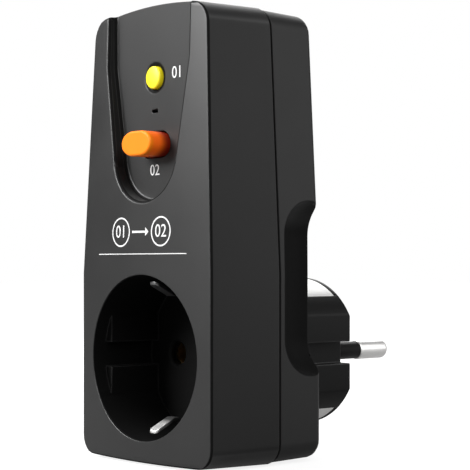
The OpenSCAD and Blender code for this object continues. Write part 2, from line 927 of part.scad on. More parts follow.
// Insulating bar that carries the moving contacts and the latch tooth
module contact_carrier() {
  color("#d8d2c0")
    difference() {
      union() {
        box(-carrier_half_w, carrier_half_w, y_carrier, y_carrier_back,
            reset_z - carrier_half_h, reset_z + carrier_half_h);
        box(latch_x - arm_half_w - tooth_rim, latch_x + arm_half_w + tooth_rim, y_carrier, y_carrier_back,
            reset_z, tooth_top_z);
      }
      rod(0, reset_z, stem_bore, y_carrier - past, y_carrier_back + past);
    }
}

module moving_contact(side) {
  color("#c9a24a") {
    plate(y_bridge, y_bridge + strip_t)
      translate([side * pole_x, reset_z])
        square([strip_w, 2 * bridge_half_h], center = true);
    for (end = [-1, 1])
      rod(side * pole_x, reset_z + end * tip_z, tip_d, y_bridge + strip_t / 2, y_tip);
  }
}

// A coil of wire along z, as one tube with flat ends
module helix(r, wire, turns, length) {
  sides = 6;
  per_turn = 12;
  rings = round(turns * per_turn);
  points = [
    for (i = [0 : rings], k = [0 : sides - 1])
      let (a = 360 * i / per_turn, b = 360 * k / sides, q = r + wire / 2 * cos(b))
      [q * cos(a), q * sin(a), wire / 2 + (length - wire) * i / rings + wire / 2 * sin(b)]
  ];
  walls = [
    for (i = [0 : rings - 1], k = [0 : sides - 1], half = [0, 1])
      let (n = (k + 1) % sides, a = i * sides + k, b = i * sides + n, c = a + sides, d = b + sides)
      half == 0 ? [a, b, c] : [b, d, c]
  ];
  first = [for (k = [1 : sides - 2]) [0, k + 1, k]];
  end = rings * sides;
  last = [for (k = [1 : sides - 2]) [end, end + k, end + k + 1]];
  polyhedron(points = points, faces = concat(walls, first, last));
}

function spring_length() = y_frame - y_carrier_back - 2 * seat_gap;

module reset_spring() {
  color("#a8a9ac")
    translate([0, y_carrier_back + seat_gap, reset_z])
      rotate([-90, 0, 0])
        helix(spring_r, spring_wire, spring_turns, spring_length());
}

// Flag behind the slit, clipped on the carrier
module indicator_flag() {
  flag_over = 0.9;
  flag_half_w = slit_w / 2 + flag_over;
  flag_t = 0.8;
  foot_z = reset_z + carrier_half_h + seat_gap;
  y_flag = y_panel_back + free_gap;
  color("#101011") {
    box(-flag_half_w, flag_half_w, y_flag, y_flag + flag_t, foot_z, slit_z + slit_h / 2 + flag_over);
    box(-flag_half_w, flag_half_w, y_flag, y_carrier_back - tooth_rim, foot_z, foot_z + flag_t);
  }
}

module test_button() {
  y_rim = y_panel_back + flange_gap;
  y_step = y_test_point - point_len;
  color("#f2c21b") {
    rod(0, test_z, test_d, y_panel - test_proud, y_rim);
    rod(0, test_z, test_flange_d, y_rim, y_rim + test_flange_t);
    rod(0, test_z, test_stem_d, y_rim, y_step);
    rod(0, test_z, test_point_d, y_rim, y_test_point);
  }
}

// Sprung leaf that the test button presses, with a rolled root
module test_leaf() {
  color("#c9a24a") {
    box(leaf_root_x, leaf_tip_x, y_leaf - leaf_t / 2, y_leaf + leaf_t / 2,
        test_z - leaf_half_h, test_z + leaf_half_h);
    translate([leaf_root_x, y_leaf, test_z - leaf_half_h])
      cylinder(r = leaf_root_r, h = 2 * leaf_half_h);
  }
}

module test_contact() {
  color("#c9a24a") {
    box(post_left_x + contact_root, leaf_tip_x, y_contact, y_contact + leaf_t,
        test_z - leaf_half_h, test_z + leaf_half_h);
    rod(bump_x, test_z, bump_d, y_contact - bump_h, y_contact + leaf_t / 2);
  }
}

// Moulded frame that guides the stem and holds the contacts, latch and leaves
module mechanism_frame() {
  ear_x = latch_x - ear_gap - ear_t;
  post_right_x = leaf_root_x + post_lip;
  post_half_h = leaf_half_h + post_rim;
  color("#e4e0d4")
    difference() {
      union() {
        box(-frame_half_w, frame_half_w, y_frame, y_frame_back, frame_bottom_z, frame_top_z);
        box(post_left_x, post_right_x, y_frame, y_frame_back, frame_bottom_z, test_z + post_half_h);
        box(post_left_x, post_right_x, y_leaf - post_front, y_frame_back,
            test_z - post_half_h, test_z + post_half_h);
        for (x = [ear_x, latch_x + ear_gap])
          box(x, x + ear_t, y_pivot - ear_half_h, y_frame_back,
              pivot_z - ear_half_h, pivot_z + ear_half_h);
        for (x = [-leg_x, leg_x], z = [frame_bottom_z + leg_in, frame_top_z - leg_in])
          rod(x, z, leg_d, y_frame, y_board);
      }
      rod(0, reset_z, stem_bore, y_frame - past, y_frame_back + past);
      for (side = [-1, 1])
        rod(side * pole_x, reset_z - tip_z, tip_d + 2 * rivet_gap, y_frame - past, y_frame_back + past);
      cross_rod(y_pivot, pivot_z, latch_pin_d + seat_gap, ear_x - past, latch_x + ear_gap + ear_t + past);
      translate([leaf_root_x, y_leaf, test_z - post_half_h - past])
        cylinder(r = leaf_root_r + run_gap, h = 2 * post_half_h + 2 * past);
      box(post_left_x + contact_root - seat_gap, post_right_x + past,
          y_contact - seat_gap, y_contact + leaf_t + seat_gap,
          test_z - leaf_half_h - seat_gap, test_z + leaf_half_h + seat_gap);
    }
}

// Latch lever: its tail hangs on the plunger, its hook drops behind the tooth
module latch_lever() {
  tail_end = y_coil + tail_over;
  slot_half_w = plunger_neck_d / 2 + slot_gap;
  color("#9a9ca0")
    difference() {
      union() {
        cross_rod(y_pivot, pivot_z, 2 * hub_r, latch_x - ear_gap + coil_gap, latch_x + ear_gap - coil_gap);
        box(latch_x - arm_half_w, latch_x + arm_half_w, y_hook, y_pivot,
            pivot_z - tail_t / 2, pivot_z + tail_t / 2);
        box(latch_x - arm_half_w, latch_x + arm_half_w, y_hook, y_hook + hook_t,
            hook_bottom_z, pivot_z + tail_t / 2);
        box(latch_x - ear_gap + coil_gap, latch_x + ear_gap - coil_gap, y_pivot, tail_end,
            pivot_z - tail_t / 2, pivot_z + tail_t / 2);
      }
      cross_rod(y_pivot, pivot_z, latch_pin_d + 2 * run_gap, latch_x - 2 * ear_gap, latch_x + 2 * ear_gap);
      box(latch_x - slot_half_w, latch_x + slot_half_w, y_coil - slot_half_w - slot_front, tail_end + past,
          pivot_z - tail_t, pivot_z + tail_t);
    }
}

module latch_pin() {
  color("#b9bbbe")
    cross_rod(y_pivot, pivot_z, latch_pin_d, latch_x - ear_gap - ear_t, latch_x + ear_gap + ear_t);
}

// Holding coil: winding between two flanges, with a bore for the plunger
module coil_bobbin() {
  z0 = coil_bottom_z + yoke_t + seat_gap;
  h = bobbin_h - 2 * seat_gap;
  color("#8c3a22")
    difference() {
      translate([latch_x, y_coil, z0])
        union() {
          cylinder(d = coil_d, h = h);
          for (z = [0, h - coil_flange])
            translate([0, 0, z])
              cylinder(d = coil_d + 2 * coil_rim, h = coil_flange);
        }
      translate([latch_x, y_coil, z0 - past])
        cylinder(d = plunger_d + 4 * run_gap, h = h + 2 * past);
    }
}

// Steel yoke round the coil, fixed to the board
module coil_yoke() {
  front = y_coil - coil_d / 2 - 2 * coil_rim;
  color("#8f9195")
    difference() {
      union() {
        box(latch_x - yoke_half_w, latch_x + yoke_half_w, y_coil + coil_d / 2 + yoke_gap, y_board,
            coil_bottom_z, coil_top_z + yoke_t);
        for (z = [coil_bottom_z, coil_top_z])
          box(latch_x - yoke_half_w, latch_x + yoke_half_w, front, y_board, z, z + yoke_t);
      }
      translate([latch_x, y_coil, coil_bottom_z - past])
        cylinder(d = plunger_d + 4 * run_gap, h = yoke_t + 2 * past);
    }
}

module coil_plunger() {
  color("#aeb0b4")
    translate([latch_x, y_coil, 0]) {
      translate([0, 0, plunger_shoulder_z])
        cylinder(d = plunger_d, h = plunger_top_z - plunger_shoulder_z);
      translate([0, 0, head_top_z - head_t / 2])
        cylinder(d = plunger_neck_d, h = plunger_shoulder_z - head_top_z + head_t);
      translate([0, 0, head_top_z - head_t])
        cylinder(d = plunger_head_d, h = head_t);
    }
}

// Spring above the plunger, which lets go of the latch when the coil is off
module plunger_spring() {
  color("#a8a9ac")
    translate([latch_x, y_coil, plunger_top_z + seat_gap])
      helix(plunger_d / 2 - plunger_wire, plunger_wire, plunger_turns, spring_room - 2 * seat_gap);
}

module circuit_board() {
  notch_x = top_screw_x - boss_r - board_gap;
  notch_z = top_screw_z - boss_r - board_gap;
  color("#2f6b3a")
    plate(y_board, y_board_back)
      difference() {
        translate([-board_half_w, board_bottom_z])
          square([2 * board_half_w, board_top_z - board_bottom_z]);
        for (side = [-1, 1])
          translate([side > 0 ? notch_x : -notch_x - board_half_w, notch_z])
            square([board_half_w, board_top_z]);
      }
}

// Ring core that both supply bars pass through
module current_transformer() {
  color("#2d4a78")
    translate([0, y_ct, ct_z])
      rotate_extrude()
        union() {
          translate([ct_bore / 2 + ct_edge, 0])
            square([(ct_d - ct_bore) / 2 - 2 * ct_edge, ct_h]);
          translate([ct_bore / 2, ct_edge])
            square([(ct_d - ct_bore) / 2, ct_h - 2 * ct_edge]);
          for (x = [ct_bore / 2 + ct_edge, ct_d / 2 - ct_edge], z = [ct_edge, ct_h - ct_edge])
            translate([x, z])
              circle(r = ct_edge);
        }
}

// Resistor that makes the test current, bridged over the board
module test_resistor() {
  x0 = resistor_x - lead_run;
  x1 = resistor_x + resistor_l + lead_run;
  z = frame_top_z + resistor_rise;
  y = y_board - resistor_d / 2 - seat_gap;
  color("#c7b48a") {
    cross_rod(y, z, resistor_d, resistor_x, resistor_x + resistor_l);
    cross_rod(y, z, lead_d, x0, x1);
    for (x = [x0, x1])
      rod(x, z, lead_d, y, y_board);
  }
}

module varistor() {
  color("#2f5fb0")
    rod(varistor_x, board_top_z - varistor_d / 2 - varistor_gap, varistor_d, y_board - varistor_t, y_board);
}

module control_chip() {
  z = frame_bottom_z + chip_rise;
  color("#232326")
    box(chip_x, chip_x + chip_w, y_board - chip_t, y_board, z, z + chip_h);
}

module housing_screws() {
  seat = y_rear - head_seat;
  color("#9b9da1")
    for (p = SCREWS) {
      rod(p[0], p[1], head_d, seat + seat_gap, seat + head_h);
      rod(p[0], p[1], screw_d, seat - screw_len, seat + head_h / 2);
    }
}

front_shell();
rear_cover();
plug_body();
plug_pin(-1);  // plug_pin_left
plug_pin(1);  // plug_pin_right
pin_sleeve(-1);  // pin_sleeve_left
pin_sleeve(1);  // pin_sleeve_right
earth_strip(0);  // earth_strip_top
earth_strip(180);  // earth_strip_bottom
socket_contact(-1);  // socket_contact_left
socket_contact(1);  // socket_contact_right
supply_bar(-1);  // supply_bar_left
supply_bar(1);  // supply_bar_right
reset_button();
contact_carrier();
moving_contact(-1);  // moving_contact_left
moving_contact(1);  // moving_contact_right
reset_spring();
indicator_flag();
test_button();
test_leaf();
test_contact();
mechanism_frame();
latch_lever();
latch_pin();
coil_bobbin();
coil_yoke();
coil_plunger();
plunger_spring();
circuit_board();
current_transformer();
test_resistor();
varistor();
control_chip();
housing_screws();
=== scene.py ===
# %% [markdown]
# # A plug-in residual current adapter
#
# The adapter is a black moulded housing with an earthed socket low on its front, an earthed plug
# low on its back, and a sunken panel with a yellow test button and an orange reset button.
# The packed model gives every solid at its real size and place. This lesson dresses those solids:
# edges get their small rounds, small pieces are modelled again with more care, and every
# surface gets a finish made of nodes.

# %% Load the frame
import json
import math
from contextlib import contextmanager

import bmesh
import bpy
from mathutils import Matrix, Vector


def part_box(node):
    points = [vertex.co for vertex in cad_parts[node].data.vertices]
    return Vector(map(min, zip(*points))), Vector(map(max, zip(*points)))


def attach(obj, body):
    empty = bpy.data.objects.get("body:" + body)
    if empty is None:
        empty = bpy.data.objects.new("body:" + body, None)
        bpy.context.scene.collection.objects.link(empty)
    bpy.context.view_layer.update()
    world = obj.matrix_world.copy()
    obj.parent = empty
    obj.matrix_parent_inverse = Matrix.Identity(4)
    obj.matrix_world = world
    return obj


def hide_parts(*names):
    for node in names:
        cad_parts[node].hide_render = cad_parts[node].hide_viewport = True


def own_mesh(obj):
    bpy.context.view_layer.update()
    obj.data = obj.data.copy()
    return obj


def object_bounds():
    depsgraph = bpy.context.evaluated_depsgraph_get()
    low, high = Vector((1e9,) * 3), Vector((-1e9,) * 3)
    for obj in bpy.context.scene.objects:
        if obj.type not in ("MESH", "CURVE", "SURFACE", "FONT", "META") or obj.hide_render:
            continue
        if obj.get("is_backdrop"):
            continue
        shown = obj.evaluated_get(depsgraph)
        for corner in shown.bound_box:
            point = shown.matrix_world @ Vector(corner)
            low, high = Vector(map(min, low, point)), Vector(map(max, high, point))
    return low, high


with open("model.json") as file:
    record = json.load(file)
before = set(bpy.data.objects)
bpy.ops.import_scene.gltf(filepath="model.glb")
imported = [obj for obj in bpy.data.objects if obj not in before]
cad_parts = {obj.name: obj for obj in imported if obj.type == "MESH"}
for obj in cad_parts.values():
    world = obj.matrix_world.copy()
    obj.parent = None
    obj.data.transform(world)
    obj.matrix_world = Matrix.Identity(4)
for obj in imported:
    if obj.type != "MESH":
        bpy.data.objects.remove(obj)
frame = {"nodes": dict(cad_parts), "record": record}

MM = 0.001
cad_low, cad_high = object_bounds()
scene = bpy.context.scene

# %% [markdown]
# ## Helpers for working as by hand
#
# By hand, a piece is clicked first and then worked on. In a script an operator acts on whatever is
# selected, and the loaded nodes are all selected, so each step begins by selecting one object
# only. In edit mode, faces, edges and points are picked by where they lie, because their numbers
# change with every cut.

# %% Selecting
def only(piece):
    """Select one object and nothing else."""
    bpy.ops.object.select_all(action="DESELECT")
    piece.select_set(True)
    bpy.context.view_layer.objects.active = piece


def named(name):
    """Name the object that an operator has just made."""
    piece = bpy.context.object
    piece.name = name
    piece.data.name = name
    return piece


@contextmanager
def editing(piece):
    """Edit mode on one object, with all of its mesh selected."""
    only(piece)
    bpy.ops.object.mode_set(mode="EDIT")
    bpy.ops.mesh.select_all(action="SELECT")
    yield
    bpy.ops.object.mode_set(mode="OBJECT")


def pick(piece, kind, test):
    """Select the faces, edges or verts that pass a test, and count them."""
    mesh = bmesh.from_edit_mesh(piece.data)
    bpy.ops.mesh.select_all(action="DESELECT")
    bpy.context.tool_settings.mesh_select_mode = [kind == k for k in ("verts", "edges", "faces")]
    count = 0
    for part in getattr(mesh, kind):
        if test(part):
            part.select_set(True)
            count += 1
    mesh.select_flush_mode()
    bmesh.update_edit_mesh(piece.data)
    return count


def middle(part):
    """Middle of an edge or a face, in millimetres."""
    return sum((v.co for v in part.verts), Vector()) / len(part.verts) / MM


print("selected by the load:", len(bpy.context.selected_objects), "objects")

# %% Shaping
def extrude(x=0.0, y=0.0, z=0.0):
    """Extrude what is selected, by millimetres."""
    bpy.ops.mesh.extrude_region_move(TRANSFORM_OT_translate={"value": (x * MM, y * MM, z * MM)})


def resize(ratios, about):
    """Scale what is selected, about a place in millimetres."""
    bpy.ops.transform.resize(value=ratios, center_override=tuple(part * MM for part in about))


def apply(piece, kind, **settings):
    """Add a modifier, set it and apply it."""
    only(piece)
    modifier = piece.modifiers.new(kind.title(), kind)
    for key, value in settings.items():
        setattr(modifier, key, value)
    bpy.ops.object.modifier_apply(modifier=modifier.name)
    return piece


def smooth(piece, degrees=35):
    """Smooth shading, except over edges sharper than an angle."""
    only(piece)
    bpy.ops.object.shade_smooth_by_angle(angle=math.radians(degrees))
    return piece


def settle(piece):
    """Put the piece's place into its mesh, so that its object sits at the origin."""
    only(piece)
    bpy.ops.object.transform_apply(location=True, rotation=True, scale=True)
    return piece


print("one millimetre is", MM, "of Blender's units")

# %% [markdown]
# ## Shader expressions
#
# Finishes are node trees. Nodes could be placed and linked one by one, but a finish is easier to
# read as a formula. Wrapping a socket in a small class lets the maths of a finish be written as
# plain Python: an expression such as 1 - mask adds its Math nodes by itself.

# %% Sockets in expressions
class Wire:
    """An output socket, for use in Python expressions."""

    def __init__(self, finish, socket):
        self.finish = finish
        self.socket = socket

    def math(self, operation, first, second):
        return self.finish.node("ShaderNodeMath", {"operation": operation}, {0: first, 1: second})

    def __add__(self, other):
        return self.math("ADD", self, other)

    def __radd__(self, other):
        return self.math("ADD", other, self)

    def __sub__(self, other):
        return self.math("SUBTRACT", self, other)

    def __rsub__(self, other):
        return self.math("SUBTRACT", other, self)

    def __mul__(self, other):
        return self.math("MULTIPLY", self, other)

    def __rmul__(self, other):
        return self.math("MULTIPLY", other, self)

    def above(self, level, width):
        """0 below a level, 1 above it, with a soft step of a given width."""
        return self.finish.node(
            "ShaderNodeMapRange",
            {"interpolation_type": "SMOOTHSTEP"},
            {0: self, 1: level - width / 2, 2: level + width / 2, 3: 0.0, 4: 1.0},
        )


def either(first, second):
    """1 where at least one of two masks is 1."""
    return first + second - first * second


print("operators on sockets:", ", ".join(name for name in vars(Wire) if name.startswith("__r")))

# %% [markdown]
# ## A finish
#
# A finish owns the node tree of one material, or of the world. One method adds any node: its
# settings come first, because they can change which sockets a node has, and then its sockets get
# values or links. The other methods are short names for what the finishes below use. All patterns
# read Object coordinates, so they stay on a piece when its joint moves.

# %% A finish
class Finish:
    """A material, or the world, made of nodes."""

    def __init__(self, name, kind="materials"):
        self.owner = getattr(bpy.data, kind).new(name)
        self.owner.use_nodes = True
        self.tree = self.owner.node_tree
        self.tree.nodes.clear()
        self.place = self.node("ShaderNodeTexCoord", out="Object")

    def node(self, kind, settings=(), values=(), out=0):
        """Add a node, set it, then give its sockets their values or links."""
        made = self.tree.nodes.new(kind)
        for key, value in dict(settings).items():
            setattr(made, key, value)
        for key, value in dict(values).items():
            if isinstance(value, Wire):
                self.tree.links.new(value.socket, made.inputs[key])
            else:
                made.inputs[key].default_value = value
        return Wire(self, made.outputs[out]) if made.outputs else None

    def noise(self, scale, detail=2.0, place=None):
        values = {"Vector": place or self.place, "Scale": scale, "Detail": detail}
        return self.node("ShaderNodeTexNoise", values=values)

    def stretched(self, x, y, z):
        """The place, scaled along each axis: a small scale draws a pattern out."""
        return self.node("ShaderNodeMapping", values={"Vector": self.place, "Scale": (x, y, z)})

    def mix(self, mask, first, second):
        """A colour between two, by a mask. A colour mix has its colours at sockets 6 and 7."""
        return self.node(
            "ShaderNodeMix", {"data_type": "RGBA"}, {0: mask, 6: first, 7: second}, out=2
        )

    def edges(self, radius):
        """1 on edges and corners, 0 on open faces."""
        rounded = self.node("ShaderNodeBevel", {"samples": 4}, {"Radius": radius})
        true = self.node("ShaderNodeNewGeometry", out="Normal")
        along = self.node(
            "ShaderNodeVectorMath", {"operation": "DOT_PRODUCT"}, {0: rounded, 1: true}, out="Value"
        )
        return (1 - along).above(0.06, 0.1)

    def bump(self, height, distance, strength=1.0):
        return self.node(
            "ShaderNodeBump",
            values={"Height": height, "Distance": distance, "Strength": strength},
        )

    def axis(self, name):
        """One coordinate of the place, in metres."""
        return self.node("ShaderNodeSeparateXYZ", values={0: self.place}, out=name)

    def facing(self, name):
        """One part of the surface's direction: 1 faces along that axis, 0 lies along it."""
        direction = self.node("ShaderNodeTexCoord", out="Normal")
        return self.node("ShaderNodeSeparateXYZ", values={0: direction}, out=name)

    def length(self, *axes):
        """Distance from the origin in metres, counted along some axes only."""
        along = self.node(
            "ShaderNodeVectorMath", {"operation": "MULTIPLY"}, {0: self.place, 1: axes}
        )
        return self.node("ShaderNodeVectorMath", {"operation": "LENGTH"}, {0: along}, out="Value")

    def size_of(self, wire):
        """A value without its sign."""
        return self.node("ShaderNodeMath", {"operation": "ABSOLUTE"}, {0: wire})

    def rays(self):
        """1 where the camera looks straight on, and 1 where a reflection or glass shows it."""
        seen, mirrored, through = (
            self.node("ShaderNodeLightPath", out="Is %s Ray" % kind)
            for kind in ("Camera", "Glossy", "Transmission")
        )
        return seen, mirrored + through

    def shader(self, **values):
        """A Principled shader: base_color goes to its socket Base Color, and so on."""
        sockets = {
            key.replace("_", " ").title().replace("Ior", "IOR"): value
            for key, value in values.items()
        }
        return self.node("ShaderNodeBsdfPrincipled", values=sockets)

    def surface(self, shader=None, output="ShaderNodeOutputMaterial", **values):
        """End the tree in a shader, and give back the material or the world."""
        self.node(output, values={"Surface": shader or self.shader(**values)})
        return self.owner


def grey(level):
    return (level, level, level, 1.0)


finishes = {}
print("a finish has", len([name for name in vars(Finish) if name[0] != "_"]), "methods")

# %% [markdown]
# ## Moulded plastic
#
# The housing is black plastic from a spark-eroded mould: satin, with a very fine grain, slightly
# lighter at the edges: wear on most pieces, and a painted highlight on the plug. One flat colour
# would look like paint, so the grain is a fine noise that feeds a bump, a wide noise changes colour
# and gloss a little, and a Bevel node finds the edges. Where a mask says so, a second shader takes
# over: matt and darker, it is painted shade, and its lighter edges are a painted highlight.

# %% A moulded finish
MATT_ROUGHNESS, MATT_GLOSS = 0.62, 0.07


def moulded(name, dark, light, edge_wear_and_highlight, roughness, grain=2600.0, depth=0.02, gloss=0.5, dull=None):
    """Satin plastic with a grain of some depth in millimetres, matt and darker where a mask is 1: painted
    shade.
    """
    finish = Finish(name)
    fine = finish.noise(grain)
    wide = finish.noise(70.0, 3.0)
    edge = finish.edges(0.4 * MM)
    relief = finish.bump(fine, depth * MM, 0.35)
    satin = finish.shader(
        base_color=finish.mix(edge * 0.5, finish.mix(wide, dark, light), edge_wear_and_highlight),
        roughness=roughness + 0.1 * (wide - 0.5) + 0.08 * (fine - 0.5) - 0.06 * edge,
        specular_ior_level=gloss,
        normal=relief,
    )
    if dull is None:
        return finish.surface(satin)
    # The matt shader's darker base is painted shade, and its lighter edges are a painted highlight.
    shaded_matt = finish.shader(
        base_color=finish.mix(edge, grey(0.003), grey(0.03)),
        roughness=MATT_ROUGHNESS + 0.1 * (wide - 0.5),
        specular_ior_level=MATT_GLOSS,
        normal=relief,
    )
    both = finish.node("ShaderNodeMixShader", values={0: dull(finish), 1: satin, 2: shaded_matt})
    return finish.surface(both)


print("matt plastic reflects", round(MATT_GLOSS / 0.5, 2), "of what satin plastic does")

# %% [markdown]
# ## Where the plastic is matt, with painted shade
#
# On the front, the socket recess and the dish round the test button are matt and darker all over:
# painted shade in hollows. The edges that turn away from the front are matt and darker too, which
# paints the dark lines round the panel and along the front's right edge, and the side walls are
# half so, a painted shade on the sides. On the rear, the finger grips are matt and darker: painted
# shade in a hollow. Masks could be painted on the mesh, but a hollow is a simple solid, so a formula
# on the place finds it: a cylinder for the recess and the dish, a capsule for a grip.

# %% Places of painted shade
def centre(node):
    """Middle of a node's box, in millimetres."""
    low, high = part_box(node)
    return (low + high) / 2 / MM


TEST_Z, DISH_R, DISH_MOUTH = centre("test_button").z, 4.3, -49.6
RECESS_R, RECESS_MOUTH, RECESS_RIM = 19.55, -53.2, 20.4
GRIP_X, GRIP_Y, GRIP_Z = 28.7, -21.4, 16.6
GRIP_R, GRIP_HALF, GRIP_HALF_SHADE_Z = 10.2, 12.0, 31.5


def painted_shade_on_the_front(finish):
    """Painted shade: 1 in the socket recess, in the dish and on turned edges, half on the sides."""
    y = finish.axis("Y")
    around = finish.length(1, 0, 1)
    recess = (1 - around.above(RECESS_R * MM, 0.05 * MM)) * y.above(RECESS_MOUTH * MM, 0.4 * MM)
    across, up = finish.axis("X"), finish.axis("Z") - TEST_Z * MM
    off_dish = (across * across + up * up).above((DISH_R * MM) ** 2, 2.0 * MM * MM)
    dish = (1 - off_dish) * y.above(DISH_MOUTH * MM, 0.1 * MM)
    sideways = finish.facing("X")
    forward = -1 * finish.facing("Y")
    turned_away = either(1 - forward.above(0.91, 0.12), 1 - sideways.above(-0.14, 0.06))
    edge = turned_away * forward.above(0.25, 0.1) * around.above(RECESS_RIM * MM, 0.4 * MM)
    side = 0.5 * finish.size_of(sideways).above(0.97, 0.04)
    return either(either(recess, dish), either(edge, side))


def painted_shade_in_a_grip(finish):
    """Painted shade: 1 in the finger grips, half at their upper ends, which are left lighter."""
    across = finish.size_of(finish.axis("X")) - GRIP_X * MM
    back = finish.axis("Y") - GRIP_Y * MM
    past = finish.size_of(finish.axis("Z") - GRIP_Z * MM) - GRIP_HALF * MM
    past = (past + finish.size_of(past)) * 0.5
    outside = (across * across + back * back + past * past).above((GRIP_R * MM) ** 2, 4.0 * MM * MM)
    return (1 - outside) * (1 - 0.5 * finish.axis("Z").above(GRIP_HALF_SHADE_Z * MM, 4.0 * MM))


print("dull: recess", 2 * RECESS_R, "mm wide, dish", 2 * DISH_R, "mm, grips", 2 * GRIP_R, "mm")

# %% [markdown]
# ## The plastics
#
# The two shells are from different moulds, so the rear one is a little duller. The plug and the
# pins' sleeves are of a smoother, deeper black. The switch inside is made of cream plastic, as
# such switches often are, and the coated varistor and ring core are blue.

# %% Plastics
finishes |= {
    "front_black": moulded(
        "front black with painted shade", grey(0.006), grey(0.008), grey(0.018), 0.40, gloss=0.46, dull=painted_shade_on_the_front
    ),
    "rear_black": moulded(
        "rear black with painted shade", grey(0.009), grey(0.012), grey(0.022), 0.44, gloss=0.25, dull=painted_shade_in_a_grip
    ),
    # The plug's light edge colour, grey 0.2, is a painted highlight along its edges.
    "plug_black": moulded(
        "plug black", grey(0.004), grey(0.005), grey(0.2), 0.36, 3400.0, 0.01, 0.12
    ),
    "sleeve_black": moulded(
        "sleeve black", grey(0.004), grey(0.006), grey(0.014), 0.42, 3400.0, 0.01, 0.08
    ),
    "flag_black": moulded("flag black", grey(0.006), grey(0.008), grey(0.02), 0.5),
    "chip_black": moulded("chip black", grey(0.02), grey(0.026), grey(0.05), 0.55),
    "test_yellow": moulded(
        "test yellow", (0.92, 0.76, 0.010, 1), (0.96, 0.82, 0.016, 1), (1.0, 0.90, 0.08, 1),
        0.42, 3000.0, 0.01,
    ),
    "carrier_cream": moulded(
        "carrier cream", (0.62, 0.55, 0.40, 1), (0.68, 0.61, 0.46, 1), (0.75, 0.70, 0.56, 1), 0.5
    ),
    "frame_cream": moulded(
        "frame cream", (0.58, 0.53, 0.42, 1), (0.64, 0.59, 0.48, 1), (0.72, 0.68, 0.58, 1), 0.52
    ),
    "varistor_blue": moulded(
        "varistor blue", (0.01, 0.09, 0.26, 1), (0.015, 0.12, 0.31, 1), (0.05, 0.2, 0.42, 1), 0.3
    ),
    "core_blue": moulded(
        "core blue", (0.012, 0.05, 0.16, 1), (0.02, 0.07, 0.2, 1), (0.06, 0.14, 0.3, 1), 0.4
    ),
}
print("plastics:", ", ".join(finishes))

# %% [markdown]
# ## Reset orange
#
# The reset button stands well out of the panel. Its face is a bright orange. Its flank is painted
# redder, and its root, deep in its opening, is painted almost brown: painted shade, because light
# alone leaves the flank too even. Two soft steps along Y lead from one colour to the next.

# %% Reset orange
FLANK_Y, ROOT_Y = -54.6, -51.5


def orange_with_painted_shade():
    """Orange that is bright on the button's face, with painted shade: redder, then dark towards its root.
    """
    finish = Finish("reset orange with painted shade")
    fine = finish.noise(3000.0)
    wide = finish.noise(90.0, 3.0)
    depth = finish.axis("Y")
    face = finish.mix(wide, (0.92, 0.20, 0.003, 1), (0.96, 0.235, 0.004, 1))
    # Painted shade: the flank is redder than the face, and the root is near brown.
    flank = finish.mix(depth.above(FLANK_Y * MM, 1.2 * MM), face, (0.98, 0.15, 0.008, 1))
    return finish.surface(
        base_color=finish.mix(depth.above(ROOT_Y * MM, 3.0 * MM), flank, (0.22, 0.012, 0.002, 1)),
        roughness=0.46 + 0.1 * (wide - 0.5) + 0.06 * (fine - 0.5),
        specular_ior_level=0.2,
        normal=finish.bump(fine, 0.01 * MM, 0.35),
    )


finishes["reset_orange"] = orange_with_painted_shade()
print("reset orange with painted shade deepens from y =", FLANK_Y, "to", ROOT_Y)

# %% [markdown]
# ## Metals
#
# Pins and earth contacts are nickel plated and bright. A drawn or rolled metal shows fine lines
# along its length, so the noise is stretched along one axis before it feeds roughness and bump.
# Deep in the socket the earth clips get painted shade: the upper clip and the rear part of the
# lower one are darker.

# %% Metals
CLIP_BACK, CLIP_SHADED_FROM = -36.0, -46.5


def metal(name, dull, bright, roughness, along=(1.0, 0.06, 1.0), painted_shade=None):
    """Worked metal with fine lines, and painted shade where a mask is 1."""
    finish = Finish(name)
    lines = finish.noise(1800.0, 2.0, finish.stretched(*along))
    wide = finish.noise(120.0, 3.0)
    clean = finish.mix(wide * 0.6 + 0.4 * finish.edges(0.3 * MM), dull, bright)
    return finish.surface(
        # The grey that the mask mixes in is painted shade.
        base_color=finish.mix(painted_shade(finish), clean, grey(0.16)) if painted_shade else clean,
        metallic=1.0,
        roughness=roughness + 0.14 * (lines - 0.5) + 0.1 * (wide - 0.5),
        normal=finish.bump(lines, 0.004 * MM, 0.3),
    )


def painted_shade_in_the_socket(finish):
    """Painted shade: 1 on the upper earth clip and on the rear part of the lower one."""
    y = finish.axis("Y")
    upper = finish.axis("Z").above(0.0, 2.0 * MM)
    return (1 - y.above(CLIP_BACK * MM, 1.0 * MM)) * either(y.above(CLIP_SHADED_FROM * MM, 2.0 * MM), upper)


metals = {
    "pin_nickel": metal("pin nickel", (0.88, 0.87, 0.86, 1), (0.96, 0.95, 0.94, 1), 0.4),
    "earth_nickel": metal(
        "earth nickel with painted shade", (0.88, 0.88, 0.87, 1), (0.96, 0.95, 0.94, 1), 0.46, painted_shade=painted_shade_in_the_socket
    ),
    "contact_brass": metal("contact brass", (0.60, 0.42, 0.16, 1), (0.72, 0.53, 0.24, 1), 0.3),
    "bar_copper": metal(
        "bar copper", (0.62, 0.26, 0.13, 1), (0.75, 0.36, 0.2, 1), 0.32, (1.0, 1.0, 0.06)
    ),
    "steel": metal("steel", (0.40, 0.40, 0.41, 1), (0.52, 0.52, 0.53, 1), 0.34, (1.0, 1.0, 0.1)),
    "spring_steel": metal("spring steel", (0.34, 0.34, 0.35, 1), (0.5, 0.5, 0.5, 1), 0.28),
    "screw_steel": metal(
        "screw steel", (0.42, 0.42, 0.43, 1), (0.56, 0.56, 0.57, 1), 0.3, (1.0, 1.0, 1.0)
    ),
}
finishes |= metals
print("metals:", ", ".join(metals))

# %% [markdown]
# ## Coil, board and resistor
#
# These are inside the closed housing. The coil's hundreds of turns would be far too many faces, so
# they are a fine band pattern round its axis that also feeds the bump. The board is green lacquer
# over paler tracks, drawn by a brick pattern, and the resistor has plain colour bands.

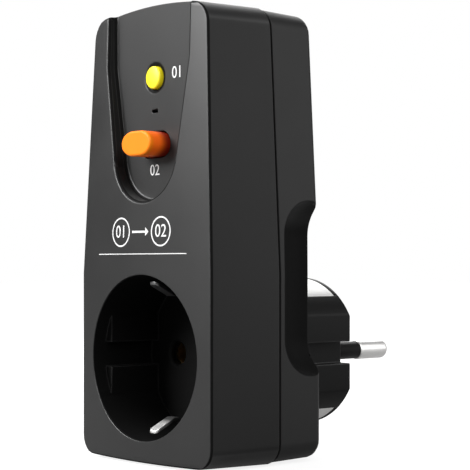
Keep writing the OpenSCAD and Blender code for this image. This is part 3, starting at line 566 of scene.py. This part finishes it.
# %% Inner finishes
def wound_copper():
    finish = Finish("coil copper")
    turns = finish.node(
        "ShaderNodeTexWave",
        {"wave_type": "BANDS", "bands_direction": "Z"},
        {"Vector": finish.place, "Scale": 800.0, "Distortion": 0.4},
        out="Fac",
    )
    return finish.surface(
        base_color=finish.mix(turns, (0.30, 0.09, 0.03, 1), (0.72, 0.30, 0.13, 1)),
        metallic=0.9,
        roughness=0.42 - 0.12 * turns,
        normal=finish.bump(turns, 0.06 * MM),
    )


def lacquered_board():
    finish = Finish("board green")
    tracks = finish.node(
        "ShaderNodeTexBrick",
        {"offset": 0.37},
        {"Vector": finish.place, "Scale": 140.0, "Mortar Size": 0.05},
        out="Fac",
    )
    wide = finish.noise(90.0, 3.0)
    lacquer = finish.mix(wide, (0.008, 0.10, 0.035, 1), (0.014, 0.14, 0.05, 1))
    return finish.surface(
        base_color=finish.mix(tracks * 0.7, lacquer, (0.04, 0.24, 0.10, 1)),
        roughness=0.34 + 0.1 * (wide - 0.5),
        normal=finish.bump(tracks, 0.03 * MM, 0.5),
    )


def banded_resistor():
    finish = Finish("resistor beige")
    bands = finish.node(
        "ShaderNodeTexWave",
        {"wave_type": "BANDS", "bands_direction": "Z"},
        {"Vector": finish.place, "Scale": 180.0},
        out="Fac",
    )
    fine = finish.noise(2200.0)
    body = finish.mix(fine, (0.55, 0.42, 0.26, 1), (0.62, 0.49, 0.32, 1))
    return finish.surface(
        base_color=finish.mix(bands.above(0.82, 0.06), body, (0.20, 0.05, 0.02, 1)),
        roughness=0.4 + 0.1 * (fine - 0.5),
        normal=finish.bump(fine, 0.01 * MM, 0.4),
    )


finishes |= {
    "coil_copper": wound_copper(),
    "board_green": lacquered_board(),
    "resistor_beige": banded_resistor(),
}
print("finishes so far:", len(finishes))

# %% [markdown]
# ## Dress the nodes that keep their solids
#
# Contacts, bars, coil, board and lever have the right shape already, so they only get their
# finish. The record says which slot each node belongs to, and the slots are named as the finishes
# are. A node's mesh is never changed: a better piece takes the node's place instead.

# %% Finishes on the solids
slots = {part["node"]: part["material_slot"] for part in frame["record"]["subparts"]}
bodies = {
    node: body
    for body, members in frame["record"]["behaviour"]["bodies"].items()
    for node in members
}


def dress(piece, finish):
    """Give a piece one finish all over."""
    piece.data.materials.clear()
    piece.data.materials.append(finish)


def stands_for(piece, node):
    """Let a finished piece take a node's place, body, slot and finish."""
    dress(piece, finishes[slots[node]])
    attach(piece, bodies[node])
    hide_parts(node)
    return piece


for node, solid in frame["nodes"].items():
    dress(solid, finishes[slots[node]])
print("dressed", len(frame["nodes"]), "solids")

# %% [markdown]
# ## Mouldings with rounded edges
#
# A moulding has no knife edges: every corner has a small round that catches a line of light. The
# shells, the plug and the earth strips could be built again from primitives, but their drafted,
# crowned faces are right in the solids, so they start as copies. A copied mesh is loose triangles:
# its points are merged and flat neighbours are joined, and then the sharp edges are weighed for a
# Bevel modifier, so that one modifier can give wide and narrow rounds.

# %% Copies with rounded edges
SAME_POINT, SAME_PLANE = 0.002, math.radians(0.3)
SHARP = math.radians(38)


def copied(node, name):
    """A copy of a node's solid, made one mesh."""
    piece = bpy.data.objects.new(name, frame["nodes"][node].data.copy())
    scene.collection.objects.link(piece)
    with editing(piece):
        bpy.ops.mesh.remove_doubles(threshold=SAME_POINT * MM)
        bpy.ops.mesh.dissolve_limited(angle_limit=SAME_PLANE)
    return piece


def anywhere(place):
    return True


def weigh(piece, share, test=anywhere):
    """Give the sharp edges whose middle passes a test a further share of the full bevel."""
    with editing(piece):
        count = pick(piece, "edges", lambda e: e.calc_face_angle(0.0) > SHARP and test(middle(e)))
        bpy.ops.transform.edge_bevelweight(value=share)
    return count


def softened(piece, width, segments=2):
    """Round the weighed edges, a full weight by the whole width."""
    apply(
        piece, "BEVEL", width=width * MM, segments=segments, limit_method="WEIGHT",
        use_clamp_overlap=False, miter_outer="MITER_ARC",
    )
    smooth(piece)
    return apply(piece, "WEIGHTED_NORMAL", keep_sharp=True, weight=80)


print("edges sharper than", round(math.degrees(SHARP)), "degrees get a round")

# %% [markdown]
# ## Front moulding
#
# Most edges of the front get a round of 0.2 mm. The rim of the sunken panel, and the line where
# the panel's wall runs into its floor, are softer on the real moulding and get 0.9 mm. The arcs of
# the solid leave very short edges there, on which so wide a bevel would break up, so points that
# lie close together on those two lines are merged first.

# %% Places on the panel
PANEL_Y, PANEL_BACK = -49.7, -47.7
PANEL_LOW, PANEL_SIDE, PANEL_TOP = 36.5, 15.5, 82.0
RIM_FRONT, RIM_BACK = -54.0, -51.2
RESET_Z, SLIT_Z = centre("reset_button").z, 58.1
RESET_HOLE_X, RESET_HOLE_Z, SLIT_X, SLIT_HEIGHT, DISH_EDGE = 6.4, 3.8, 1.6, 1.0, 5.0
LEVEL = 0.05


def in_panel(place):
    return place.z > PANEL_LOW and abs(place.x) < PANEL_SIDE


def on_panel_rim(place):
    return in_panel(place) and RIM_FRONT < place.y < RIM_BACK


def at_a_hole(place):
    """Near the reset button's opening, the test button's dish or the slit."""
    reset = abs(place.x) < RESET_HOLE_X and abs(place.z - RESET_Z) < RESET_HOLE_Z
    test = math.hypot(place.x, place.z - TEST_Z) < DISH_EDGE
    slit = abs(place.x) < SLIT_X and abs(place.z - SLIT_Z) < SLIT_HEIGHT
    return reset or test or slit


def on_panel_floor(place):
    on_floor = abs(place.y - PANEL_Y) < LEVEL and place.z < PANEL_TOP
    return on_floor and in_panel(place) and not at_a_hole(place)


print("the panel is", round(PANEL_Y - RIM_FRONT, 1), "mm deep")

# %% Front moulding
EDGE_ROUND, PANEL_ROUND, SHORT_EDGE = 0.2, 0.9, 0.3

front = copied("front_shell", "front_moulding")
with editing(front):
    pick(front, "verts", lambda v: on_panel_rim(v.co / MM) or on_panel_floor(v.co / MM))
    bpy.ops.mesh.remove_doubles(threshold=SHORT_EDGE * MM)
weigh(front, EDGE_ROUND / PANEL_ROUND)
rim = weigh(front, 1 - EDGE_ROUND / PANEL_ROUND, on_panel_rim)
fillet = weigh(front, 1 - EDGE_ROUND / PANEL_ROUND, on_panel_floor)
stands_for(softened(front, PANEL_ROUND, 4), "front_shell")
print("front moulding:", len(front.data.polygons), "faces,", rim, "rim edges,", fillet, "floor edges")

# %% [markdown]
# ## Rear moulding and plug
#
# The rear cover and the plug body are plain mouldings, with no soft rim anywhere, so all their
# sharp edges get one small round.

# %% Rear moulding and plug
for node, name, width in (("rear_cover", "rear_moulding", 0.2), ("plug_body", "plug_moulding", 0.25)):
    piece = copied(node, name)
    weigh(piece, 1.0)
    stands_for(softened(piece, width), node)
    print(name, "has", len(piece.data.polygons), "faces")

# %% [markdown]
# ## Earth strips
#
# One strip of sprung metal runs from the arc on the plug to the clip in the socket. The clip's
# free end is rounded across its width, so that it can't scratch a plug. Its corners are beveled in
# edit mode first, so that the small round on the sheet's edges then runs evenly round the new end.

# %% Earth strips
CLIP_END, CLIP_SIDE, CLIP_ROUND, SHEET_ROUND = -50.4, 1.5, 0.9, 0.12


def at_clip_corner(place):
    return abs(place.y - CLIP_END) < LEVEL and abs(abs(place.x) - CLIP_SIDE) < LEVEL


for end in ("top", "bottom"):
    strip = copied("earth_strip_" + end, "earth_spring_" + end)
    with editing(strip):
        corners = pick(strip, "edges", lambda e: at_clip_corner(middle(e)))
        bpy.ops.mesh.bevel(offset=CLIP_ROUND * MM, segments=5, affect="EDGES")
    weigh(strip, 1.0)
    stands_for(softened(strip, SHEET_ROUND), "earth_strip_" + end)
    print("earth strip", end, "has", corners, "rounded corners")

# %% [markdown] ## Coil springs  Each spring stands between a fixed seat and a piece that moves
# towards it.

# %% Coil springs
def pressed(node, name, free, travel):
    """A smoothed copy of a spring's solid. Its free length and its length at the joint's limit are
    printed.
    """
    piece = stands_for(smooth(copied(node, name)), node)
    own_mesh(piece)
    print(name, "shortens from", free, "to", round(free - travel, 2), "mm")


pressed(
    "reset_spring", "reset_coil",
    free=11.0, travel=5.0,
)
pressed(
    "plunger_spring", "plunger_coil",
    free=2.37, travel=1.6,
)

# %% [markdown]
# ## Turned pieces
#
# Pins, sleeves, the test button and the screws are round about an axis along Y. Each starts as a
# circle that is extruded along its axis and scaled at every step, as a lathe would cut it. Spinning
# an outline would do as well, but the steps read like the piece's own drawing: a place along the
# axis, and the radius there.

# %% A lathe made of extrusions
AROUND_Y = (math.radians(90), 0.0, 0.0)


def circle(name, radius, place, sides, filled=True):
    """A circle that faces forward."""
    bpy.ops.object.select_all(action="DESELECT")
    bpy.ops.mesh.primitive_circle_add(
        vertices=sides, radius=radius * MM, fill_type="NGON" if filled else "NOTHING",
        location=tuple(part * MM for part in place), rotation=AROUND_Y,
    )
    return settle(named(name))


def turned(name, x, z, steps, sides=64, tube=False):
    """A round piece from (y, radius) steps in millimetres. A tube's steps end where they start."""
    y, radius = steps[0]
    piece = circle(name, radius, (x, y, z), sides, filled=not tube)
    with editing(piece):
        for next_y, next_radius in steps[1:]:
            extrude(y=next_y - y)
            ratio = next_radius / radius
            resize((ratio, 1.0, ratio), (x, next_y, z))
            y, radius = next_y, next_radius
        bpy.ops.mesh.select_all(action="SELECT")
        bpy.ops.mesh.remove_doubles(threshold=0.001 * MM)
        bpy.ops.mesh.normals_make_consistent(inside=False)
    return smooth(piece, 30)


def arc(y, radius, r, start, stop, count):
    """Steps of a rounded edge about a centre at (y, radius)."""
    angles = [math.radians(start + (stop - start) * i / count) for i in range(count + 1)]
    return [(y + r * math.sin(a), radius + r * math.cos(a)) for a in angles]


print("a quarter round in 8 steps turns", 90 / 8, "degrees at each")

# %% [markdown]
# ## Pins and sleeves
#
# Each pin is a thin nickel-plated rod with a thicker bare tip and a rounded end. A black sleeve
# covers the thin part, so that a half-drawn plug shows no live metal. The rounded end is an arc
# of steps, and the sleeve's mouth has a small round of its own.

# %% Pins and sleeves
PIN_X, PIN_R, NECK_R, RIVET_R = 9.5, 2.4, 1.7, 1.2
PIN_BACK, RIVET_END, PIN_END, TIP_ROUND = -13.8, -12.6, 19.0, 1.44
SLEEVE_R, SLEEVE_BACK, SLEEVE_END = 2.2, -6.0, 8.6
FIT, RIVET_SOFT, SHOULDER_SOFT, MOUTH_SOFT = 0.05, 0.15, 0.2, 0.2

shoulder, bore = SLEEVE_END + FIT, NECK_R + FIT
pin_steps = [
    (PIN_BACK, RIVET_R - RIVET_SOFT), (PIN_BACK + RIVET_SOFT, RIVET_R),
    (RIVET_END, RIVET_R), (RIVET_END, NECK_R),
    (shoulder, NECK_R), (shoulder, PIN_R - SHOULDER_SOFT), (shoulder + SHOULDER_SOFT, PIN_R),
] + arc(PIN_END - TIP_ROUND, PIN_R - TIP_ROUND, TIP_ROUND, 0, 90, 8)
sleeve_steps = [
    (SLEEVE_BACK, bore), (SLEEVE_BACK, SLEEVE_R), (SLEEVE_END - MOUTH_SOFT, SLEEVE_R),
    (SLEEVE_END - 0.3 * MOUTH_SOFT, SLEEVE_R - 0.3 * MOUTH_SOFT),
    (SLEEVE_END, SLEEVE_R - MOUTH_SOFT), (SLEEVE_END, bore), (SLEEVE_BACK, bore),
]
for side, x in (("left", -PIN_X), ("right", PIN_X)):
    stands_for(turned("pin_" + side, x, 0.0, pin_steps), "plug_pin_" + side)
    stands_for(turned("sleeve_" + side, x, 0.0, sleeve_steps, tube=True), "pin_sleeve_" + side)
print("pins and sleeves:", len(pin_steps), "and", len(sleeve_steps), "steps")

# %% [markdown]
# ## Test button
#
# The test button is a low yellow cap with a soft rim, sunk in a dish. Behind the panel it has a
# flange that stops it, and a stem with a nib that pushes the test leaf. All of it is round, so it
# is turned in one piece, with the rim as a quarter of an oval.

# %% Test button
TEST_R, TEST_SOFT, TEST_CREST = 2.7, 0.6, 0.08
START_R, FLAT_R, CREST_R = 0.4, 1.6, 1.95
TEST_FLANGE_R, TEST_STEM_R, NIB_R, NIB_LENGTH = 3.7, 1.3, 0.7, 0.8
FLANGE_Y = PANEL_BACK + 0.2
TEST_FLANGE_BACK = FLANGE_Y + 1.0

low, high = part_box("test_button")
face, end = low.y / MM, high.y / MM
test_steps = [(face, START_R), (face, FLAT_R), (face + TEST_CREST, CREST_R)]
for degrees in range(15, 91, 15):
    a = math.radians(degrees)
    y = face + TEST_SOFT - (TEST_SOFT - TEST_CREST) * math.cos(a)
    test_steps.append((y, TEST_R - TEST_SOFT + TEST_SOFT * math.sin(a)))
test_steps += [
    (FLANGE_Y, TEST_R), (FLANGE_Y, TEST_FLANGE_R),
    (TEST_FLANGE_BACK, TEST_FLANGE_R), (TEST_FLANGE_BACK, TEST_STEM_R),
    (end - NIB_LENGTH, TEST_STEM_R), (end - NIB_LENGTH, NIB_R), (end, NIB_R),
]
stands_for(turned("test_cap", 0.0, TEST_Z, test_steps), "test_button")
print("test button reaches back to y =", round(end, 2))

# %% [markdown]
# ## Reset button
#
# The reset button is a long orange key with round ends that stands well out of the panel. A box
# with a bevel would have flat ends, so a circle is made an oval, pulled apart into two round ends,
# extruded forward, and given a soft front edge by a bevel. A flange that keeps the key behind the
# panel, and a stem for its spring, are joined on with a Boolean.

# %% A long key
def key_block(name, width, height, end, front_y, back_y, soft):
    """A long key along Y. Its ends are half ovals, and its front edge can be soft."""
    piece = circle(name, height / 2, (0.0, back_y, RESET_Z), 62)
    with editing(piece):
        resize((end / (height / 2), 1.0, 1.0), (0.0, back_y, RESET_Z))
        for side in (-1.0, 1.0):
            pick(piece, "verts", lambda v: v.co.x * side > 0.0)
            bpy.ops.transform.translate(value=(side * (width / 2 - end) * MM, 0.0, 0.0))
        bpy.ops.mesh.select_all(action="SELECT")
        extrude(y=front_y - back_y)
        if soft:
            pick(piece, "edges", lambda e: all(v.co.y < (front_y + 0.01) * MM for v in e.verts))
            bpy.ops.mesh.bevel(offset=soft * MM, segments=6, affect="EDGES")
        bpy.ops.mesh.select_all(action="SELECT")
        bpy.ops.mesh.normals_make_consistent(inside=False)
    print(name, "has", len(piece.data.polygons), "faces")
    return piece


# %% Reset button
RESET_W, RESET_H, RESET_RIM, STEM_R, STEM_SOFT = 11.0, 5.9, 1.5, 2.0, 0.3
RESET_FLANGE_BACK = FLANGE_Y + 1.5
OVERLAP = 0.1

low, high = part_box("reset_button")
reset_cap = key_block(
    "reset_key", RESET_W, RESET_H, end=4.2, front_y=low.y / MM, back_y=FLANGE_Y + OVERLAP, soft=0.6
)
flange = key_block(
    "reset_flange", RESET_W + 2 * RESET_RIM, RESET_H + 2 * RESET_RIM, end=4.45,
    front_y=FLANGE_Y, back_y=RESET_FLANGE_BACK, soft=0.0,
)
stem_steps = [
    (RESET_FLANGE_BACK - OVERLAP, STEM_R), (high.y / MM - STEM_SOFT, STEM_R),
    (high.y / MM, STEM_R - STEM_SOFT),
]
stem = turned("reset_stem", 0.0, RESET_Z, stem_steps)
for part in (flange, stem):
    apply(reset_cap, "BOOLEAN", object=part, operation="UNION", solver="EXACT")
    bpy.data.objects.remove(part)
smooth(reset_cap, 40)
apply(reset_cap, "WEIGHTED_NORMAL", keep_sharp=True, weight=80)
stands_for(reset_cap, "reset_button")
print("reset button:", len(reset_cap.data.polygons), "faces")

# %% [markdown]
# ## Housing screws
#
# Four screws hold the shells together from behind, deep in round wells. A head is turned with a
# soft rim, and a cross recess is cut into it with a Boolean of two bars that taper inwards, as the
# tip of a screwdriver does. The four are joined, because the record holds them as one node.

# %% Housing screws
SCREW_PLACES = [(side * x, z) for x, z in ((18.0, -18.4), (15.0, 75.7)) for side in (1, -1)]
HEAD_SEAT, HEAD_TOP, HEAD_R, SHANK_R = -21.15, -19.2, 2.7, 1.45
POINT_LENGTH, POINT_R = 0.8, 0.95
CROSS_LENGTH, CROSS_WIDTH, CROSS_DEPTH, CROSS_PAST, CROSS_TAPER = 3.0, 0.7, 1.2, 0.4, 0.55

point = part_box("housing_screws")[0].y / MM
screw_steps = [
    (point, POINT_R), (point + POINT_LENGTH, SHANK_R), (HEAD_SEAT, SHANK_R), (HEAD_SEAT, HEAD_R),
    (HEAD_TOP - 0.9, HEAD_R), (HEAD_TOP - 0.5, HEAD_R - 0.15), (HEAD_TOP - 0.2, HEAD_R - 0.55),
    (HEAD_TOP - 0.04, HEAD_R - 1.2), (HEAD_TOP, HEAD_R - 1.9),
]


def cross_bar(x, z, width, length):
    """One bar of a cross recess, smaller at its deep end."""
    bpy.ops.object.select_all(action="DESELECT")
    y = HEAD_TOP + (CROSS_PAST - CROSS_DEPTH) / 2
    bpy.ops.mesh.primitive_cube_add(size=1.0, location=(x * MM, y * MM, z * MM))
    piece = named("cross_bar")
    piece.scale = (width * MM, (CROSS_DEPTH + CROSS_PAST) * MM, length * MM)
    settle(piece)
    with editing(piece):
        pick(piece, "faces", lambda f: f.normal.y < -0.9)
        resize((CROSS_TAPER, 1.0, CROSS_TAPER), (x, HEAD_TOP - CROSS_DEPTH, z))
    return piece


screws = []
for number, (x, z) in enumerate(SCREW_PLACES):
    screw = turned("housing_screw_%d" % number, x, z, screw_steps, 40)
    for width, length in ((CROSS_WIDTH, CROSS_LENGTH), (CROSS_LENGTH, CROSS_WIDTH)):
        cutter = cross_bar(x, z, width, length)
        apply(screw, "BOOLEAN", object=cutter, operation="DIFFERENCE", solver="EXACT")
        bpy.data.objects.remove(cutter)
    screws.append(smooth(screw, 30))
only(screws[0])
for screw in screws[1:]:
    screw.select_set(True)
bpy.ops.object.join()
stands_for(named("housing_screw_set"), "housing_screws")
print("screws:", len(SCREW_PLACES))

# %% [markdown]
# ## Printed marks
#
# The front is printed in white. Here the marks are plain numbers: 01 beside the test button, 02
# under the reset button, and a row with both and an arrow, for the order of use, over a thin rule.
# A print could be a picture on the surface, but as pieces the marks stay sharp at any distance.
# Each is drawn flat, laid on the moulding with a Shrinkwrap modifier, because the front is
# crowned, and given the thickness of a film of ink.

# %% Ink
MARK_FILM, MARK_START = 0.02, -60.0


def printed_white():
    finish = Finish("print white")
    fine = finish.noise(5200.0)
    return finish.surface(
        base_color=finish.mix(fine, grey(0.62), grey(0.74)),
        roughness=0.55 + 0.1 * (fine - 0.5),
        normal=finish.bump(fine, 0.004 * MM, 0.4),
    )


print_white = printed_white()


def on_front(piece):
    """Lay a flat mark on the front moulding and make it a thin film."""
    settle(piece)
    apply(
        piece, "SHRINKWRAP", target=front, wrap_method="PROJECT", use_project_y=True, use_project_x=False,
        use_project_z=False, use_positive_direction=True, use_negative_direction=False, offset=0.0,
    )
    with editing(piece):
        bpy.ops.mesh.normals_make_consistent(inside=False)
        pick(piece, "faces", lambda f: f.normal.y > 0.0)
        bpy.ops.mesh.flip_normals()
    apply(piece, "SOLIDIFY", thickness=MARK_FILM * MM, offset=1.0)
    dress(piece, print_white)
    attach(piece, "housing")
    print(piece.name, "has", len(piece.data.polygons), "faces")


# %% Shapes of the marks
TEXT_SIZE = 1.4
ARROW_WIDTH, ARROW_LENGTH = 4.0, 2.4


def number_mark(name, words, x, z, height):
    """Digits of a height in millimetres. A text's size is larger than its digits."""
    bpy.ops.object.select_all(action="DESELECT")
    bpy.ops.object.text_add(location=(x * MM, MARK_START * MM, z * MM), rotation=AROUND_Y)
    text = bpy.context.object.data
    text.body = words
    text.size = height * TEXT_SIZE * MM
    text.align_x = "CENTER"
    text.align_y = "CENTER"
    text.resolution_u = 6
    bpy.ops.object.convert(target="MESH")
    on_front(named(name))


def ring_mark(name, x, z, outer, inner):
    piece = circle(name, outer, (x, MARK_START, z), 48)
    with editing(piece):
        bpy.ops.mesh.inset(thickness=(outer - inner) * MM)
        bpy.ops.mesh.delete(type="FACE")
    on_front(piece)


def flat_bar(name, x, z, length, thick):
    bpy.ops.object.select_all(action="DESELECT")
    bpy.ops.mesh.primitive_plane_add(
        size=1.0, location=(x * MM, MARK_START * MM, z * MM), rotation=AROUND_Y
    )
    piece = named(name)
    piece.scale = (length * MM, thick * MM, 1.0)
    return settle(piece)


def rule_mark(name, x, z, length, thick):
    """A thin line, cut into short lengths so that it can follow the crown."""
    piece = flat_bar(name, x, z, length, thick)
    with editing(piece):
        bpy.ops.mesh.subdivide(number_cuts=31)
    on_front(piece)


def arrow_mark(name, x, z, length, thick):
    """A bar whose right end is widened and then drawn to a point, in shares of its thickness."""
    piece = flat_bar(name, x, z, length, thick)
    with editing(piece):
        pick(piece, "edges", lambda e: middle(e).x > x + length * 0.45)
        extrude()
        resize((1.0, 1.0, ARROW_WIDTH), (x + length / 2, 0.0, z))
        extrude(x=thick * ARROW_LENGTH)
        bpy.ops.mesh.merge(type="CENTER")
    on_front(piece)


print("digits of 3 mm are set at a size of", round(3.0 * TEXT_SIZE, 1), "mm")

# %% Marks
ROW_Z, FIRST_X, SECOND_X = 29.6, -8.0, 7.0

number_mark("mark_test", "01", 8.2, 66.5, 2.8)
number_mark("mark_reset", "02", 0.0, 44.1, 2.6)
number_mark("mark_first", "01", FIRST_X, ROW_Z, 3.0)
number_mark("mark_second", "02", SECOND_X, ROW_Z, 3.0)
ring_mark("mark_first_ring", FIRST_X, ROW_Z, 3.5, 3.15)
ring_mark("mark_second_ring", SECOND_X, ROW_Z, 3.5, 3.15)
arrow_mark("mark_arrow", -1.1, ROW_Z, 5.0, 0.5)
rule_mark("mark_rule", -0.5, 24.4, 33.0, 0.2)
print("the row of marks stands at z =", ROW_Z)

# %% [markdown]
# ## Floor and room
#
# A product picture has a plain pale floor in a plain pale room. Lamps strong enough to make the
# floor white would wash out the black housing. So the floor and the room glow white to the camera
# alone, show dimly in reflections, and light the adapter only a little. The floor is a real
# surface under the glow, so it keeps the shadow, and away from the adapter it fades to pure white.

# %% Floor and room
FLOOR_SIZE, FLOOR_GAP = 6.0, 0.02
NEAR_GLOW, FLOOR_MIRRORED = 0.85, 0.16
ROOM_LIGHT, ROOM_MIRRORED = 0.03, 0.2


def pale_floor():
    finish = Finish("floor white")
    seen, mirrored = finish.rays()
    fine = finish.noise(40.0)
    away = finish.length(1, 1, 0).above(0.25, 0.3)
    glow = (NEAR_GLOW + (1 - NEAR_GLOW) * away) * seen + FLOOR_MIRRORED * mirrored
    return finish.surface(
        base_color=finish.mix(fine, grey(0.24), grey(0.26)),
        roughness=0.9,
        emission_color=finish.mix(glow, grey(0.0), grey(1.0)),
        emission_strength=1.0,
    )


def pale_room():
    finish = Finish("pale room", "worlds")
    seen, mirrored = finish.rays()
    strength = ROOM_LIGHT + (1 - ROOM_LIGHT) * seen + ROOM_MIRRORED * mirrored
    light = finish.node("ShaderNodeBackground", values={"Color": grey(1.0), "Strength": strength})
    return finish.surface(light, "ShaderNodeOutputWorld")


bpy.ops.object.select_all(action="DESELECT")
bpy.ops.mesh.primitive_plane_add(size=FLOOR_SIZE, location=(0.0, 0.0, cad_low.z - FLOOR_GAP * MM))
floor = settle(named("floor"))
dress(floor, pale_floor())
floor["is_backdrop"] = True
scene.world = pale_room()
print("floor at", round(cad_low.z / MM, 2), "mm")

# %% [markdown]
# ## Lights
#
# Black plastic is drawn by what it mirrors, so the lamps are large soft squares. The key stands
# high on the left and in front: it lights the buttons and leaves the socket, the panel's left wall
# and the finger grip dark. A smaller one, lower down, gives the front its sheen, which grows
# towards the right edge. One on the right fills the reset button's flank, one behind on the right
# shows in the side and in the pins, and one behind on the left shows in the plug's earth contact.

# %% Lights
MIDDLE, LAMP_AWAY = Vector((0.0, -0.03, 0.03)), 0.8


def softbox(name, azimuth, elevation, size, radiance):
    """A square light that faces the adapter. Azimuth 0 is in front, 90 is on the right."""
    a, e = math.radians(azimuth), math.radians(elevation)
    aim = Vector((-math.sin(a) * math.cos(e), math.cos(a) * math.cos(e), -math.sin(e)))
    bpy.ops.object.select_all(action="DESELECT")
    bpy.ops.object.light_add(type="AREA", location=MIDDLE - LAMP_AWAY * aim)
    lamp = bpy.context.object
    lamp.name = name
    lamp.data.shape = "SQUARE"
    lamp.data.size = size
    lamp.data.energy = math.pi * size * size * radiance
    lamp.visible_camera = False
    lamp.rotation_euler = aim.to_track_quat("-Z", "Y").to_euler()
    print(name, "gives", round(lamp.data.energy, 2), "W")


softbox("key softbox", -45, 50, 0.5, 7.0)
softbox("sheen softbox", -27, 26, 0.35, 20.0)
softbox("side softbox", 134, 19, 0.6, 1.5)
softbox("fill softbox", 65, 35, 0.6, 4.0)
softbox("back softbox", -143, 31, 0.5, 2.2)

# %% [markdown]
# ## Camera
#
# The photograph looks level at the adapter from its right, with a long lens. The horizon lies a
# little under the middle of the picture. Tilting the camera would make the upright edges lean, so
# it stays level and the lens is shifted up instead.

# %% Camera
CAMERA_PLACE, CAMERA_TURN = (0.27615, -0.27197, 0.02154), 48.113
LENS, SENSOR, SHIFT = 114.877, 36.0, 0.0662

bpy.ops.object.select_all(action="DESELECT")
bpy.ops.object.camera_add(
    location=CAMERA_PLACE, rotation=(math.radians(90), 0.0, math.radians(CAMERA_TURN))
)
camera = bpy.context.object
camera.name = "camera"
camera.data.lens = LENS
camera.data.sensor_width = SENSOR
camera.data.shift_y = SHIFT
camera.data.dof.use_dof = False
scene.camera = camera
scene.view_settings.view_transform = "Standard"
print("camera at", [round(c, 4) for c in camera.location])

# %% [markdown]
# ## Sizes and the end
#
# The packed model's box and the dressed model's box are both printed. The dressed model
# must stay inside the packed model's box.

# %% Finish
low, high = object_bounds()
print("cad box", [round(v / MM, 2) for v in (*cad_low, *cad_high)])
print("visual box", [round(v / MM, 2) for v in (*low, *high)])
